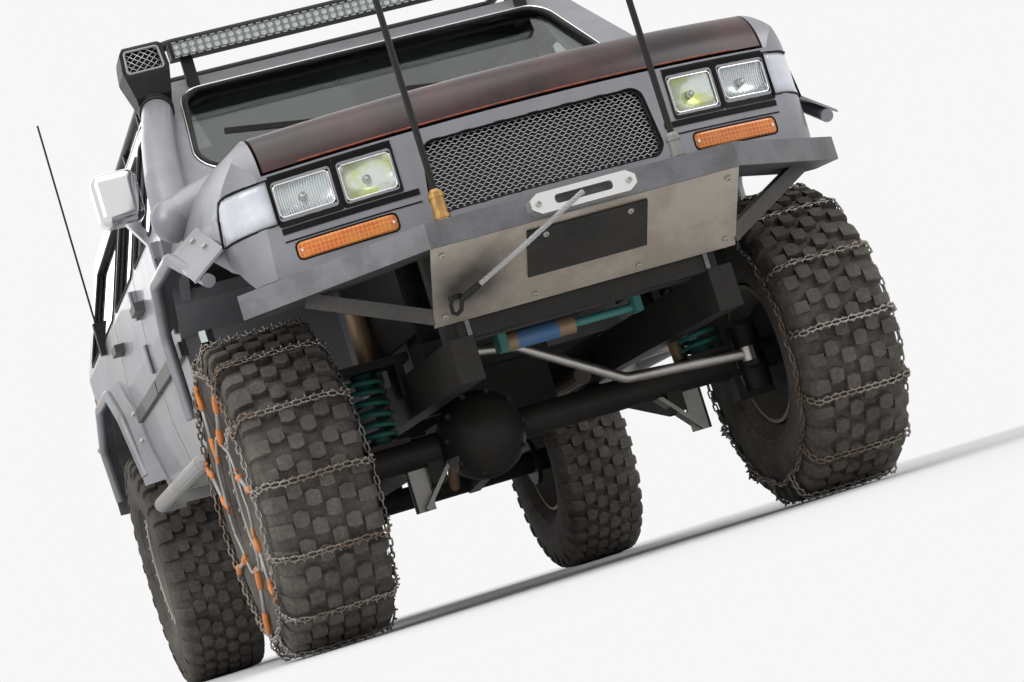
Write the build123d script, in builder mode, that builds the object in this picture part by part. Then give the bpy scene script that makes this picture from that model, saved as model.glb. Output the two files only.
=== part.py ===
from build123d import *
import math
import os

os.makedirs("parts", exist_ok=True)

# A lifted off-road estate car on mud tyres, the front pair in studded chains. Millimetres.
# X runs across the car (-X is its right side) and Z up from the ground. Lengths along the
# car are counted back from the front axle, and write() moves each finished piece by
# FRONT_AXLE_Y, which sets the origin under the middle of the car.

# Driving dimensions: axles and wheels
WHEELBASE = 2850
FRONT_AXLE_Y = -1480
WHEEL_X = 800
TYRE_RADIUS = 465
TYRE_WIDTH = 318
TREAD_WIDTH = 300
LUG_HEIGHT = 20
LUGS_ROUND = 16
BEAD_RADIUS = 217
RIM_WIDTH = 236
RIM_WALL = 11
CHAIN_THICK = 14
CROSS_CHAINS = 14
CHAIN_SEAT = 0.5
CHAIN_RADIUS = TYRE_RADIUS + CHAIN_SEAT + CHAIN_THICK
CHAIN_PITCH = math.pi / CROSS_CHAINS
LUG_HALF_ANGLE = 0.22 * 2 * math.pi / LUGS_ROUND
FRONT_HUB_Z = CHAIN_RADIUS * math.cos(CHAIN_PITCH) + CHAIN_THICK / 2 * math.sin(CHAIN_PITCH)
REAR_HUB_Z = TYRE_RADIUS * math.cos(LUG_HALF_ANGLE)
KINGPIN_X = 655

# Driving dimensions: body
CABIN_WALL = 55
WING_WALL = 30
GLASS_THICK = 6
GLASS_DEPTH = 14
PANEL_GAP = 8
SILL_Z = 700
BELT_Z = 1385
ROOF_Z = 1985
HALF_WIDTH = 918
CABIN_FRONT = 400
CABIN_REAR = 3905
NOSE = -745
NOSE_ARC_RADIUS = 2311
BEAM_LOW = 909
BEAM_HIGH = 976
BEAM_FRONT = -967
RAIL_X = 375
RAIL_WIDTH = 70
RAIL_Z = 630
RAIL_HEIGHT = 120
HINGE_RADIUS = 6
HINGE_X = HALF_WIDTH + HINGE_RADIUS + 0.5
HINGE_SET = 3
DOOR_INNER_X = 830
DOOR_TOP_X = 620
SEAT_GAP = 0.5


def write(piece, name):
    """Names a finished piece, moves it to its place along the car and writes its file."""
    moved = piece.moved(Location((0, FRONT_AXLE_Y, 0)))
    moved.label = name
    export_step(moved, f"parts/{name}.step")


def tube(points, radius, bend=40):
    """A round bar through the points, its corners bent to the given radius."""
    with BuildPart() as bar:
        with BuildLine() as route:
            if len(points) > 2:
                FilletPolyline(*points, radius=bend)
            else:
                Line(*points)
        with BuildSketch(Plane(route.line @ 0, z_dir=route.line % 0)):
            Circle(radius)
        sweep()
    return bar.part


def mitred(points, radius, sides=12):
    """A many-sided bar through the points, its corners mitred."""
    with BuildPart() as bar:
        with BuildLine() as route:
            Polyline(*points)
        with BuildSketch(Plane(route.line @ 0, z_dir=route.line % 0)):
            RegularPolygon(radius, sides)
        sweep(transition=Transition.RIGHT)
    return bar.part


def box_bar(start, end, width, height):
    """A rectangular bar between two points, its width level where it can be."""
    axis = Vector(*end) - Vector(*start)
    level = Vector(0, 0, 1).cross(axis)
    if level.length < 1:
        level = Vector(1, 0, 0)
    with BuildPart() as bar:
        with BuildSketch(Plane(start, x_dir=level, z_dir=axis)):
            Rectangle(width, height)
        extrude(amount=axis.length)
    return bar.part


def slab(low, high):
    """A plain block between two opposite corners."""
    middle = tuple((a + b) / 2 for a, b in zip(low, high))
    with BuildPart() as block:
        with Locations(middle):
            Box(*[b - a for a, b in zip(low, high)])
    return block.part


def side_prism(points, x_low, x_high, grow=0, corner=0):
    """An outline in the side view, points of (y, z), made solid between two x."""
    with BuildPart() as prism:
        with BuildSketch(Plane.YZ.offset(x_low)) as outline:
            with BuildLine():
                Polyline(*points, close=True)
            make_face()
            if corner:
                fillet(outline.vertices(), radius=corner)
            if grow:
                offset(amount=grow, kind=Kind.INTERSECTION)
        extrude(amount=x_high - x_low)
    return prism.part


def front_prism(points, y_low, y_high, corner=0):
    """An outline in the front view, points of (x, z), made solid between two y."""
    with BuildPart() as prism:
        with BuildSketch(Plane.XZ.offset(-y_low)) as outline:
            with BuildLine():
                Polyline(*points, close=True)
            make_face()
            if corner:
                fillet(outline.vertices(), radius=corner)
        extrude(amount=y_low - y_high)
    return prism.part


def plan_prism(points, z_low, z_high):
    """An outline in the top view, points of (x, y), made solid between two z."""
    with BuildPart() as prism:
        with BuildSketch(Plane.XY.offset(z_low)):
            with BuildLine():
                Polyline(*points, close=True)
            make_face()
        extrude(amount=z_high - z_low)
    return prism.part


def disc(x_low, x_high, y, z, radius):
    """A cylinder lying across the car."""
    with BuildPart() as drum:
        with BuildSketch(Plane.YZ.offset(x_low)):
            with Locations((y, z)):
                Circle(radius)
        extrude(amount=x_high - x_low)
    return drum.part


def post(x, y, z_low, z_high, radius):
    """An upright cylinder."""
    with BuildPart() as drum:
        with BuildSketch(Plane.XY.offset(z_low)):
            with Locations((x, y)):
                Circle(radius)
        extrude(amount=z_high - z_low)
    return drum.part


def cut(piece, *tools):
    """The piece less the tools."""
    with BuildPart() as left:
        add(piece)
        for tool in tools:
            add(tool, mode=Mode.SUBTRACT)
    return left.part


def within(piece, region):
    """The part of the piece that lies in the region."""
    with BuildPart() as left:
        add(piece)
        add(region, mode=Mode.INTERSECT)
    return left.part


def joined(*pieces):
    """Several solids as one node; those that touch become one."""
    with BuildPart() as group:
        for piece in pieces:
            add(piece)
    return group.part


def mirrored(piece):
    """The piece on the car's other side."""
    with BuildPart() as other:
        mirror(piece, about=Plane.YZ)
    return other.part


def both_sides(*pieces):
    """The pieces and their mirror images in one node."""
    with BuildPart() as pair:
        for piece in pieces:
            add(piece)
            mirror(piece, about=Plane.YZ)
    return pair.part


# side name, sign of x
SIDES = (("right", -1), ("left", 1))


# Tyres: a many-sided carcass with a ring of block lugs on each half, the two rings staggered
CARCASS_SIDES = 2 * LUGS_ROUND
LUG_FLAT = TYRE_RADIUS * math.cos(LUG_HALF_ANGLE)
LUG_HALF = TYRE_RADIUS * math.sin(LUG_HALF_ANGLE)
WALL_RADIUS = 345
SHOULDER = 22
# half width and corner radius of the carcass, from the bead to the tread's middle
CARCASS = (
    (RIM_WIDTH / 2, BEAD_RADIUS + 16),
    (TYRE_WIDTH / 2, WALL_RADIUS),
    (TREAD_WIDTH / 2, TYRE_RADIUS - 62),
    (TREAD_WIDTH / 2 - SHOULDER, TYRE_RADIUS - LUG_HEIGHT),
    (0, TYRE_RADIUS - LUG_HEIGHT),
)
# a lug's outline across the tread: half width, height over the axle
LUG = (
    (0, LUG_FLAT - 2 * LUG_HEIGHT), (0, LUG_FLAT), (TREAD_WIDTH / 2 - SHOULDER, LUG_FLAT),
    (TREAD_WIDTH / 2, TYRE_RADIUS - 30), (TYRE_WIDTH / 2 - 0.6, WALL_RADIUS + 5),
    (TREAD_WIDTH / 2 - SHOULDER, WALL_RADIUS + 5),
)


def tyre_half(side):
    """The carcass from one bead to the middle, and its lugs."""
    rings = []
    for x, radius in CARCASS:
        with BuildSketch(Plane.YZ.offset(side * x)) as ring:
            RegularPolygon(radius, CARCASS_SIDES)
        rings.append(ring.sketch)
    with BuildPart() as half:
        loft(rings, ruled=True)
        for number in range(LUGS_ROUND):
            turn = (number + (0 if side > 0 else 0.5)) * 2 * math.pi / LUGS_ROUND
            across = Plane((0, 0, 0), x_dir=(1, 0, 0), z_dir=(0, -math.sin(turn), math.cos(turn)))
            with BuildSketch(across):
                with BuildLine():
                    Polyline(*[(side * x, height) for x, height in LUG], close=True)
                make_face()
            extrude(amount=LUG_HALF, both=True)
    return half.part


with BuildPart() as tyre:
    add(tyre_half(1))
    add(tyre_half(-1))
    with BuildSketch(Plane.YZ.offset(-TYRE_WIDTH / 2)):
        Circle(BEAD_RADIUS)
    extrude(amount=TYRE_WIDTH, mode=Mode.SUBTRACT)

# Rim: a steel barrel with a clamp ring outside, a dished disc with round windows, and a hub
RIM_LIP = 14
RIM_DISC_X = 62
RIM_WINDOWS = 8
RIM_HUB_RADIUS = 56
SPINDLE_RADIUS = 30
SPINDLE_PLAY = 0.5
with BuildPart() as rim:
    half = RIM_WIDTH / 2
    seat = BEAD_RADIUS - 0.5
    with BuildSketch(Plane.XY):
        with BuildLine():
            Polyline(
                (-half, seat - RIM_WALL), (-half, seat), (half, seat), (half, seat + RIM_LIP),
                (half + 8, seat + RIM_LIP), (half + 8, seat - RIM_WALL),
                (RIM_DISC_X + 14, seat - RIM_WALL), (RIM_DISC_X + 2, 75),
                (RIM_DISC_X + 14, 75), (RIM_DISC_X + 14, 0), (RIM_DISC_X + 6, 0),
                (RIM_DISC_X + 6, SPINDLE_RADIUS + SPINDLE_PLAY),
                (RIM_DISC_X - 26, SPINDLE_RADIUS + SPINDLE_PLAY), (RIM_DISC_X - 26, 120),
                (RIM_DISC_X, seat - RIM_WALL), close=True,
            )
        make_face()
    revolve(axis=Axis.X)
    with BuildSketch(Plane.YZ):
        with PolarLocations(155, RIM_WINDOWS):
            Circle(26)
    extrude(amount=RIM_WIDTH, mode=Mode.SUBTRACT)
    with BuildSketch(Plane.YZ.offset(RIM_DISC_X + 6)):
        Circle(RIM_HUB_RADIUS)
    extrude(amount=42)

# Snow chain: cross chains over the tread, a side chain on each wall, a tensioner's spokes outside
SIDE_CHAIN_RADIUS = 392
SIDE_CHAIN_X = TYRE_WIDTH / 2 + 5
TENSIONER_RADIUS = 120
TENSIONER_SPOKES = 7
strap_root = SIDE_CHAIN_RADIUS - 12
inner = [
    (SIDE_CHAIN_X, strap_root), (TREAD_WIDTH / 2 + 8, TYRE_RADIUS - 28),
    (TREAD_WIDTH / 2 - 18, TYRE_RADIUS + CHAIN_SEAT),
]
outer = [
    (SIDE_CHAIN_X + CHAIN_THICK, strap_root), (TREAD_WIDTH / 2 + 20, TYRE_RADIUS - 20),
    (TREAD_WIDTH / 2 - 12, CHAIN_RADIUS),
]
far_outer = [(-x, r) for x, r in reversed(outer)]
far_inner = [(-x, r) for x, r in inner]
strap = outer + far_outer + far_inner + inner[::-1]
with BuildPart() as chain:
    for number in range(CROSS_CHAINS):
        turn = (number + 0.5) * 2 * CHAIN_PITCH - math.pi / 2
        across = Plane((0, 0, 0), x_dir=(1, 0, 0), z_dir=(0, -math.sin(turn), math.cos(turn)))
        with BuildSketch(across):
            with BuildLine():
                Polyline(*strap, close=True)
            make_face()
        extrude(amount=CHAIN_THICK / 2, both=True)
    for x in (-SIDE_CHAIN_X - CHAIN_THICK, SIDE_CHAIN_X):
        with BuildSketch(Plane.YZ.offset(x)):
            turned = math.degrees(CHAIN_PITCH)
            RegularPolygon(SIDE_CHAIN_RADIUS + 10, CROSS_CHAINS, rotation=turned)
            RegularPolygon(SIDE_CHAIN_RADIUS - 6, CROSS_CHAINS, rotation=turned, mode=Mode.SUBTRACT)
        extrude(amount=CHAIN_THICK)
    with BuildSketch(Plane.YZ.offset(SIDE_CHAIN_X)):
        RegularPolygon(TENSIONER_RADIUS + 8, TENSIONER_SPOKES)
        RegularPolygon(TENSIONER_RADIUS - 4, TENSIONER_SPOKES, mode=Mode.SUBTRACT)
        with PolarLocations((TENSIONER_RADIUS + SIDE_CHAIN_RADIUS) / 2, TENSIONER_SPOKES):
            Rectangle(SIDE_CHAIN_RADIUS - TENSIONER_RADIUS, 16)
    extrude(amount=CHAIN_THICK)

# axle name, its place, hub height, chained
AXLES = (("front", 0, FRONT_HUB_Z, True), ("rear", WHEELBASE, REAR_HUB_Z, False))


def on_hub(piece, sign, y, z):
    """A wheel's piece, drawn with its outer face towards +X, set on one hub."""
    with BuildPart() as set_piece:
        with Locations(Location((sign * WHEEL_X, y, z), (0, 0, 0 if sign > 0 else 180))):
            add(piece)
    return set_piece.part


for axle, axle_y, hub_z, chained in AXLES:
    for side, sign in SIDES:
        write(on_hub(tyre.part, sign, axle_y, hub_z), f"tyre_{axle}_{side}")
        write(on_hub(rim.part, sign, axle_y, hub_z), f"rim_{axle}_{side}")
        if chained:
            write(on_hub(chain.part, sign, axle_y, hub_z), f"chain_{side}")


# Cabin: one hollow body, cut into shell, doors, hatch and tailgate along its seams
def cabin(inset):
    """The cabin's outside, or the room inside it when inset by the wall."""
    with BuildPart() as volume:
        with BuildSketch(Plane.XZ):
            with BuildLine():
                Polyline((0, SILL_Z), (878, SILL_Z), (906, 880), (HALF_WIDTH, 1130), (900, BELT_Z),
                    (744, 1856))
                ThreePointArc((744, 1856), (718, 1915), (650, 1948))
                ThreePointArc((650, 1948), (330, 1976), (0, ROOF_Z))
                mirror(about=Plane.YZ)
            make_face()
            if inset:
                offset(amount=-inset, kind=Kind.TANGENT)
        extrude(amount=-CABIN_REAR - 100)
        with BuildSketch(Plane.YZ):
            with BuildLine():
                Polyline(
                    (CABIN_FRONT, SILL_Z), (CABIN_FRONT, 1478), (960, 1932), (1180, 1978), (2300, ROOF_Z + 5),
                    (3300, 1974), (3700, 1938), (3802, 1872), (CABIN_REAR, 1310), (CABIN_REAR, SILL_Z),
                    close=True,
                )
            make_face()
            if inset:
                offset(amount=-inset, kind=Kind.TANGENT)
        extrude(amount=HALF_WIDTH + 50, both=True, mode=Mode.INTERSECT)
        with BuildSketch(Plane.XY):
            with BuildLine():
                Polyline((0, 0), (HALF_WIDTH + 5, 0), (HALF_WIDTH + 5, 3300), (900, 3790))
                ThreePointArc((900, 3790), (874, 3868), (800, CABIN_REAR))
                Line((800, CABIN_REAR), (0, CABIN_REAR + 2))
                mirror(about=Plane.YZ)
            make_face()
            if inset:
                offset(amount=-inset, kind=Kind.TANGENT)
        extrude(amount=ROOF_Z + 50, mode=Mode.INTERSECT)
    return volume.part


cabin_solid = cabin(0)
cabin_shell = cut(cabin_solid, cabin(CABIN_WALL))
glass_shell = cut(cabin(GLASS_DEPTH), cabin(GLASS_DEPTH + GLASS_THICK))

FRONT_ARCH = ((-640, 500), (-640, 880), (-500, 1040), (-110, 1187), (330, 1194), (497, 1040), (497, 500))
REAR_ARCH = (
    (2190, 500), (2205, 800), (2335, 1030), (2600, 1168), (3060, 1168), (3370, 1030), (3450, 830),
    (3450, 500),
)
FRONT_DOOR = ((505, 722), (505, 1400), (560, 1528), (910, 1838), (1348, 1876), (1348, 722))
REAR_DOOR = (
    (1358, 722), (1358, 1876), (2180, 1876), (2262, 1400), (2262, 1150), (2225, 1075), (2095, 830),
    (2080, 722),
)
HATCH = ((3690, 1345), (3690, 1856), (3790, 1966), (4000, 1966), (4000, 1345))
TAILGATE = ((3800, 770), (3800, 1339), (4000, 1339), (4000, 770))
FRONT_WINDOW = ((610, 1412), (610, 1496), (930, 1786), (1296, 1812), (1296, 1412))
REAR_WINDOW = ((1414, 1412), (1414, 1812), (2120, 1812), (2190, 1412))
QUARTER_WINDOW = ((2330, 1412), (2290, 1800), (3460, 1776), (3620, 1412))
WINDSCREEN = ((-716, 1518), (-628, 1872), (628, 1872), (716, 1518))
HATCH_WINDOW = ((-600, 1420), (-560, 1800), (560, 1800), (600, 1420))
WINDOW_CORNER = 36
SCREEN_CORNER = 80
LID_HALF = 715
FLOOR_TOP = SILL_Z + CABIN_WALL
TUB_WALL = 12
TUB_X = 595
TOE_X = 424

screen_opening = front_prism(WINDSCREEN, 300, 1150, SCREEN_CORNER)
hatch_opening = front_prism(HATCH_WINDOW, 3600, 4000, WINDOW_CORNER)
lid_band = slab((-LID_HALF, 3600, SILL_Z), (LID_HALF, 4000, ROOF_Z))
lid_room = slab((-LID_HALF - PANEL_GAP, 3600, SILL_Z), (LID_HALF + PANEL_GAP, 4000, ROOF_Z))
# the wheels' rooms in the cabin, folded from plate
tub = cut(
    side_prism(REAR_ARCH, TUB_X - TUB_WALL, 880, grow=TUB_WALL),
    side_prism(REAR_ARCH, TUB_X, HALF_WIDTH + 100),
    slab((0, 0, 0), (1000, 4000, SILL_Z)),
)
toe_board = cut(
    side_prism(FRONT_ARCH, TOE_X - TUB_WALL, 880, grow=TUB_WALL),
    side_prism(FRONT_ARCH, TOE_X, HALF_WIDTH + 100),
    slab((0, 0, 0), (1000, 4000, SILL_Z)),
    slab((0, -900, 0), (1000, CABIN_FRONT, 2000)),
    slab((815, 490, 0), (1000, 700, 2000)),
)
# the doors are only as deep as the side wall, so the floor and the screen's frame stay whole
DOOR_BELT_Z = 1300
door_depth = joined(
    slab((-DOOR_INNER_X, 0, 0), (DOOR_INNER_X, 4000, DOOR_BELT_Z)),
    slab((-DOOR_TOP_X, 0, DOOR_BELT_Z), (DOOR_TOP_X, 4000, ROOF_Z)))
floor_edge = joined(
    slab((PANEL_GAP - DOOR_INNER_X, 0, 0), (DOOR_INNER_X - PANEL_GAP, 4000, DOOR_BELT_Z - PANEL_GAP)),
    slab((PANEL_GAP - DOOR_TOP_X, 0, 1000), (DOOR_TOP_X - PANEL_GAP, 4000, ROOF_Z + 100)))
openings = []
for sign in (-1, 1):
    far = sign * (HALF_WIDTH + 100)
    for outline in (FRONT_DOOR, REAR_DOOR):
        openings.append(cut(side_prism(outline, min(0, far), max(0, far), grow=PANEL_GAP), floor_edge))
    openings.append(side_prism(QUARTER_WINDOW, min(0, far), max(0, far), corner=WINDOW_CORNER))
    openings.append(side_prism(REAR_ARCH, min(sign * TUB_X, far), max(sign * TUB_X, far)))
    openings.append(side_prism(FRONT_ARCH, min(sign * TOE_X, far), max(sign * TOE_X, far)))
body = cut(
    cabin_shell, *openings, screen_opening,
    within(lid_room, side_prism(HATCH, -1000, 1000, grow=PANEL_GAP)),
    within(lid_room, side_prism(TAILGATE, -1000, 1000, grow=PANEL_GAP)),
)
quarter = within(glass_shell, side_prism(QUARTER_WINDOW, 0, 1100, corner=WINDOW_CORNER))
write(joined(within(glass_shell, screen_opening), quarter, mirrored(quarter)), "fixed_glass")

HINGE_LENGTH = 50
# height of each door hinge's middle
DOOR_HINGES = (1110, 1300)


def upright_hinge(y, z, reach, low_half):
    """Half of a door hinge on the left side: a barrel on the hinge line and its leaf."""
    base = z - HINGE_LENGTH if low_half else z + SEAT_GAP
    with BuildPart() as half_hinge:
        with Locations((HINGE_X, y, base)):
            Cylinder(HINGE_RADIUS, HINGE_LENGTH, align=(Align.CENTER, Align.CENTER, Align.MIN))
        add(slab((880, min(y, y + reach), base), (HINGE_X, max(y, y + reach), base + HINGE_LENGTH)))
    return half_hinge.part


# door name, its outline, its window, the y of its handle
DOORS = (("front", FRONT_DOOR, FRONT_WINDOW, 1250), ("rear", REAR_DOOR, REAR_WINDOW, 2165))
TRIM_Z = 1012
TRIM_PROUD = 9
for door, outline, window, handle_y in DOORS:
    first = min(y for y, z in outline)
    last = 2190 if door == "rear" else max(y for y, z in outline)
    strip = slab((HALF_WIDTH - 40, first + 8, TRIM_Z - 23), (HALF_WIDTH + TRIM_PROUD, last - 8, TRIM_Z + 23))
    handle = slab((HALF_WIDTH - 20, handle_y - 75, 1255), (HALF_WIDTH + 26, handle_y + 75, 1285))
    hinges = [upright_hinge(first - HINGE_SET, z, 20, True) for z in DOOR_HINGES]
    window_hole = side_prism(window, 0, 1100, corner=WINDOW_CORNER)
    left = joined(cut(within(cabin_shell, side_prism(outline, 0, 1100)), window_hole, door_depth), strip,
        handle, *hinges)
    glass = within(glass_shell, window_hole)
    write(left, f"door_{door}_left")
    write(mirrored(left), f"door_{door}_right")
    write(glass, f"glass_{door}_left")
    write(mirrored(glass), f"glass_{door}_right")

hatch = cut(within(within(cabin_shell, side_prism(HATCH, -1000, 1000)), lid_band), hatch_opening)
tailgate = within(within(cabin_shell, side_prism(TAILGATE, -1000, 1000)), lid_band)
PILLAR_Y = 1353
pillar_band = slab((-1000, PILLAR_Y - 40, 0), (1000, PILLAR_Y + 40, 2000))
hoop = within(cut(cabin(CABIN_WALL + PANEL_GAP), cabin(CABIN_WALL + 50),
    slab((-785, 0, 0), (785, 4000, 1200))), pillar_band)
hoop_top = cut(
    within(cut(cabin(CABIN_WALL - 2), cabin(CABIN_WALL + 50)), pillar_band),
    slab((-1000, 0, 0), (1000, 4000, 1890)))
hoop_foot = both_sides(slab((790, PILLAR_Y - 40, FLOOR_TOP - 2), (824, PILLAR_Y + 40, 810)))
rear_hinge_y = min(y for y, z in REAR_DOOR) - HINGE_SET
front_hinge_y = min(y for y, z in FRONT_DOOR) - HINGE_SET
body_hinges = []
for z in DOOR_HINGES:
    body_hinges.append(upright_hinge(front_hinge_y, z, -20, False))
    with BuildPart() as pillar_hinge:
        with Locations((HINGE_X, rear_hinge_y, z + SEAT_GAP)):
            Cylinder(HINGE_RADIUS, HINGE_LENGTH, align=(Align.CENTER, Align.CENTER, Align.MIN))
        add(slab((825, rear_hinge_y - 1.5, z + SEAT_GAP),
            (HINGE_X, rear_hinge_y + 1.5, z + SEAT_GAP + HINGE_LENGTH)))
    body_hinges.append(pillar_hinge.part)
# lid hinge lines: y, z; each lid's barrels stand beside the body's
BONNET_LINE = (395, 1503)
HATCH_LINE = (3737, 1926)
TAILGATE_LINE = (3912, 767)
LID_HINGE_X = 400


def lid_hinge(line, start, leaf_low, leaf_high):
    """A barrel across the car on a lid's hinge line, with its leaf."""
    return joined(
        disc(start, start + 40, line[0], line[1], HINGE_RADIUS - 1),
        slab((start, leaf_low[0], leaf_low[1]), (start + 40, leaf_high[0], leaf_high[1])))


lid_side = LID_HINGE_X + 40 + SEAT_GAP
body_lids = both_sides(
    lid_hinge(BONNET_LINE, LID_HINGE_X, (BONNET_LINE[0], 1460), (CABIN_FRONT + 2, BONNET_LINE[1])),
    lid_hinge(HATCH_LINE, LID_HINGE_X, (3712, 1920), (HATCH_LINE[0], 1930)),
    lid_hinge(TAILGATE_LINE, LID_HINGE_X, (3902, 746), (TAILGATE_LINE[0], TAILGATE_LINE[1])))
hatch_hinges = both_sides(lid_hinge(HATCH_LINE, lid_side, (3741, 1896), (3768, HATCH_LINE[1])))
tailgate_hinges = both_sides(lid_hinge(TAILGATE_LINE, lid_side, (3902, 771), (TAILGATE_LINE[0], 790)))
write(joined(body, both_sides(tub, toe_board, *body_hinges), hoop, hoop_top, hoop_foot, body_lids),
    "body_shell")
write(joined(hatch, hatch_hinges), "hatch")
write(within(glass_shell, hatch_opening), "hatch_glass")
write(joined(tailgate, tailgate_hinges, slab((-260, CABIN_REAR - 10, 1130), (260, CABIN_REAR + 14, 1250))),
    "tailgate")


# Front end: a nose turned about a far upright line, cut into bonnet, wings and lamp panel
def front_section(y, widen, lift, inset):
    with BuildSketch(Plane.XZ.offset(-y)) as section:
        with BuildLine():
            Polyline((0, SILL_Z), (866 + widen, SILL_Z), (872 + widen, 980), (856 + widen, 1195 + lift))
            ThreePointArc((856 + widen, 1195 + lift), (796 + widen / 2, 1326 + lift), (680, 1425 + lift))
            Line((680, 1425 + lift), (0, 1560 + lift))
            mirror(about=Plane.YZ)
        make_face()
        if inset:
            offset(amount=-inset, kind=Kind.TANGENT)
    return section.sketch


def front_end(inset):
    """The front end's outside, or the room inside it when inset by the wall."""
    with BuildPart() as volume:
        loft([front_section(-900, -8, -22, inset), front_section(CABIN_FRONT - 6, 34, 82, inset)], ruled=True)
        with BuildSketch(Plane.YZ):
            with BuildLine():
                Polyline((CABIN_FRONT + 500, 1535), (CABIN_FRONT + 500, SILL_Z), (NOSE + 12, SILL_Z),
                    (NOSE, 1262))
                ThreePointArc((NOSE, 1262), (NOSE + 30, 1340), (NOSE + 115, 1392))
                Polyline((NOSE + 115, 1392), (-440, 1428), (CABIN_FRONT - 100, 1493),
                    (CABIN_FRONT + 500, 1535))
            make_face()
            if inset:
                offset(amount=-inset, kind=Kind.TANGENT)
        revolve(axis=Axis((0, NOSE + NOSE_ARC_RADIUS, 0), (0, 0, 1)), mode=Mode.INTERSECT)
        with BuildSketch(Plane.XY.offset(SILL_Z - 10)):
            with BuildLine():
                Polyline((0, -900), (600, -900), (724, -634))
                ThreePointArc((724, -634), (818, -560), (862, -420))
                Polyline((862, -420), (880, -150), (912, CABIN_FRONT - 6), (0, CABIN_FRONT - 6))
                mirror(about=Plane.YZ)
            make_face()
            if inset:
                offset(amount=-inset, kind=Kind.TANGENT)
        extrude(amount=1000, mode=Mode.INTERSECT)
    return volume.part


PANEL_Z = 1262
BONNET_HALF = 733
LAMP_PANEL_LOW = 985
front_solid = front_end(0)
engine_room = front_end(WING_WALL)
front_shell = cut(front_solid, engine_room, engine_room.moved(Location((0, WING_WALL + 10, 0))))
bonnet_region = slab((-BONNET_HALF, -900, PANEL_Z + PANEL_GAP), (BONNET_HALF, CABIN_FRONT - 10, 1700))
bonnet = within(front_shell, bonnet_region)
bonnet_hinges = both_sides(lid_hinge(BONNET_LINE, lid_side, (378, 1466), BONNET_LINE))
write(joined(bonnet, bonnet_hinges), "bonnet")

LAMP_GAP = 0.4
GRILLE = ((-344, 1026), (-318, 1226), (318, 1226), (344, 1026))
grille_hole = front_prism(GRILLE, -900, -500, 40)
nose_region = slab((-728, -900, LAMP_PANEL_LOW), (728, -500, PANEL_Z))
# lamp, its nearer and farther x, its bottom and top
LAMPS = (("inner", 405, 545, 1128, 1229), ("outer", 571, 722, 1137, 1230))
INDICATOR = (434, 705, 1017, 1064)
CORNER_LAMP = (1123, 1250)
LAMP_DEPTH = 40
lamp_holes = []
for name, near, wide, low, high in LAMPS + (("indicator",) + INDICATOR,):
    lamp_holes += [slab((near, -900, low), (wide, -500, high)), slab((-wide, -900, low), (-near, -500, high))]
nose_panel = cut(within(front_shell, nose_region), grille_hole, *lamp_holes)
write(nose_panel, "nose_panel")
wing_cut = slab((-BONNET_HALF - PANEL_GAP, -900, PANEL_Z), (BONNET_HALF + PANEL_GAP, CABIN_FRONT, 1700))
low_cut = slab((-728, -900, SILL_Z), (728, -300, PANEL_Z))
wings = cut(
    front_shell, wing_cut, low_cut, side_prism(FRONT_ARCH, -1100, 1100),
    slab((-1100, -900, SILL_Z - 20), (1100, -430, BEAM_HIGH + 8)),
    slab((-1100, -900, SILL_Z - 20), (1100, CABIN_FRONT, SILL_Z + 40)),
    slab((728, -900, CORNER_LAMP[0]), (1000, -470, CORNER_LAMP[1])),
    slab((-1000, -900, CORNER_LAMP[0]), (-728, -470, CORNER_LAMP[1])),
)
write(wings, "front_wings")
lamp_skin = cut(front_end(3), front_end(LAMP_DEPTH))
lamp_parts = []
for name, near, wide, low, high in LAMPS:
    lamp_parts.append(within(lamp_skin, slab((near + LAMP_GAP, -900, low + LAMP_GAP),
        (wide - LAMP_GAP, -500, high - LAMP_GAP))))
near, wide, low, high = INDICATOR
indicator = within(lamp_skin, slab((near + LAMP_GAP, -900, low + LAMP_GAP),
    (wide - LAMP_GAP, -500, high - LAMP_GAP)))
corner = within(lamp_skin, slab((728 + LAMP_GAP, -900, CORNER_LAMP[0] + LAMP_GAP),
    (1000, -470 - LAMP_GAP, CORNER_LAMP[1] - LAMP_GAP)))
write(both_sides(*lamp_parts, corner), "headlamps")
write(both_sides(indicator), "indicators")

# Grille mesh: a bent plate with rows of diamond openings, every second row set over by half
MESH_SET = 16
MESH_THICK = 4
MESH_PITCH = 44
MESH_ROW = 19.5
MESH_HALF = 16
MESH_TALL = 9
MESH_EDGE = 9
diamonds = []
for row in range(int((GRILLE[1][1] - GRILLE[0][1]) / MESH_ROW)):
    row_z = GRILLE[0][1] + MESH_ROW * (row + 0.75)
    lean = (row_z - GRILLE[0][1]) / (GRILLE[1][1] - GRILLE[0][1])
    reach = GRILLE[3][0] + lean * (GRILLE[2][0] - GRILLE[3][0]) - MESH_EDGE - MESH_HALF
    if row_z - MESH_TALL - 12 < GRILLE[0][1] or row_z + MESH_TALL + 12 > GRILLE[1][1]:
        reach = reach - 26
    shift = 0 if row % 2 else MESH_PITCH / 2
    steps = int((reach - shift) / MESH_PITCH)
    columns = {sign * (shift + step * MESH_PITCH) for step in range(steps + 1) for sign in (-1, 1)}
    diamonds += [(x, row_z) for x in sorted(columns)]
with BuildPart() as mesh_cuts:
    with BuildSketch(Plane.XZ.offset(900)):
        with Locations(*diamonds):
            Polygon((-MESH_HALF, 0), (0, MESH_TALL), (MESH_HALF, 0), (0, -MESH_TALL))
    extrude(amount=-400)
mesh_plate = within(cut(front_end(MESH_SET), front_end(MESH_SET + MESH_THICK)), grille_hole)
write(cut(mesh_plate, mesh_cuts.part), "grille_mesh")

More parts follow.
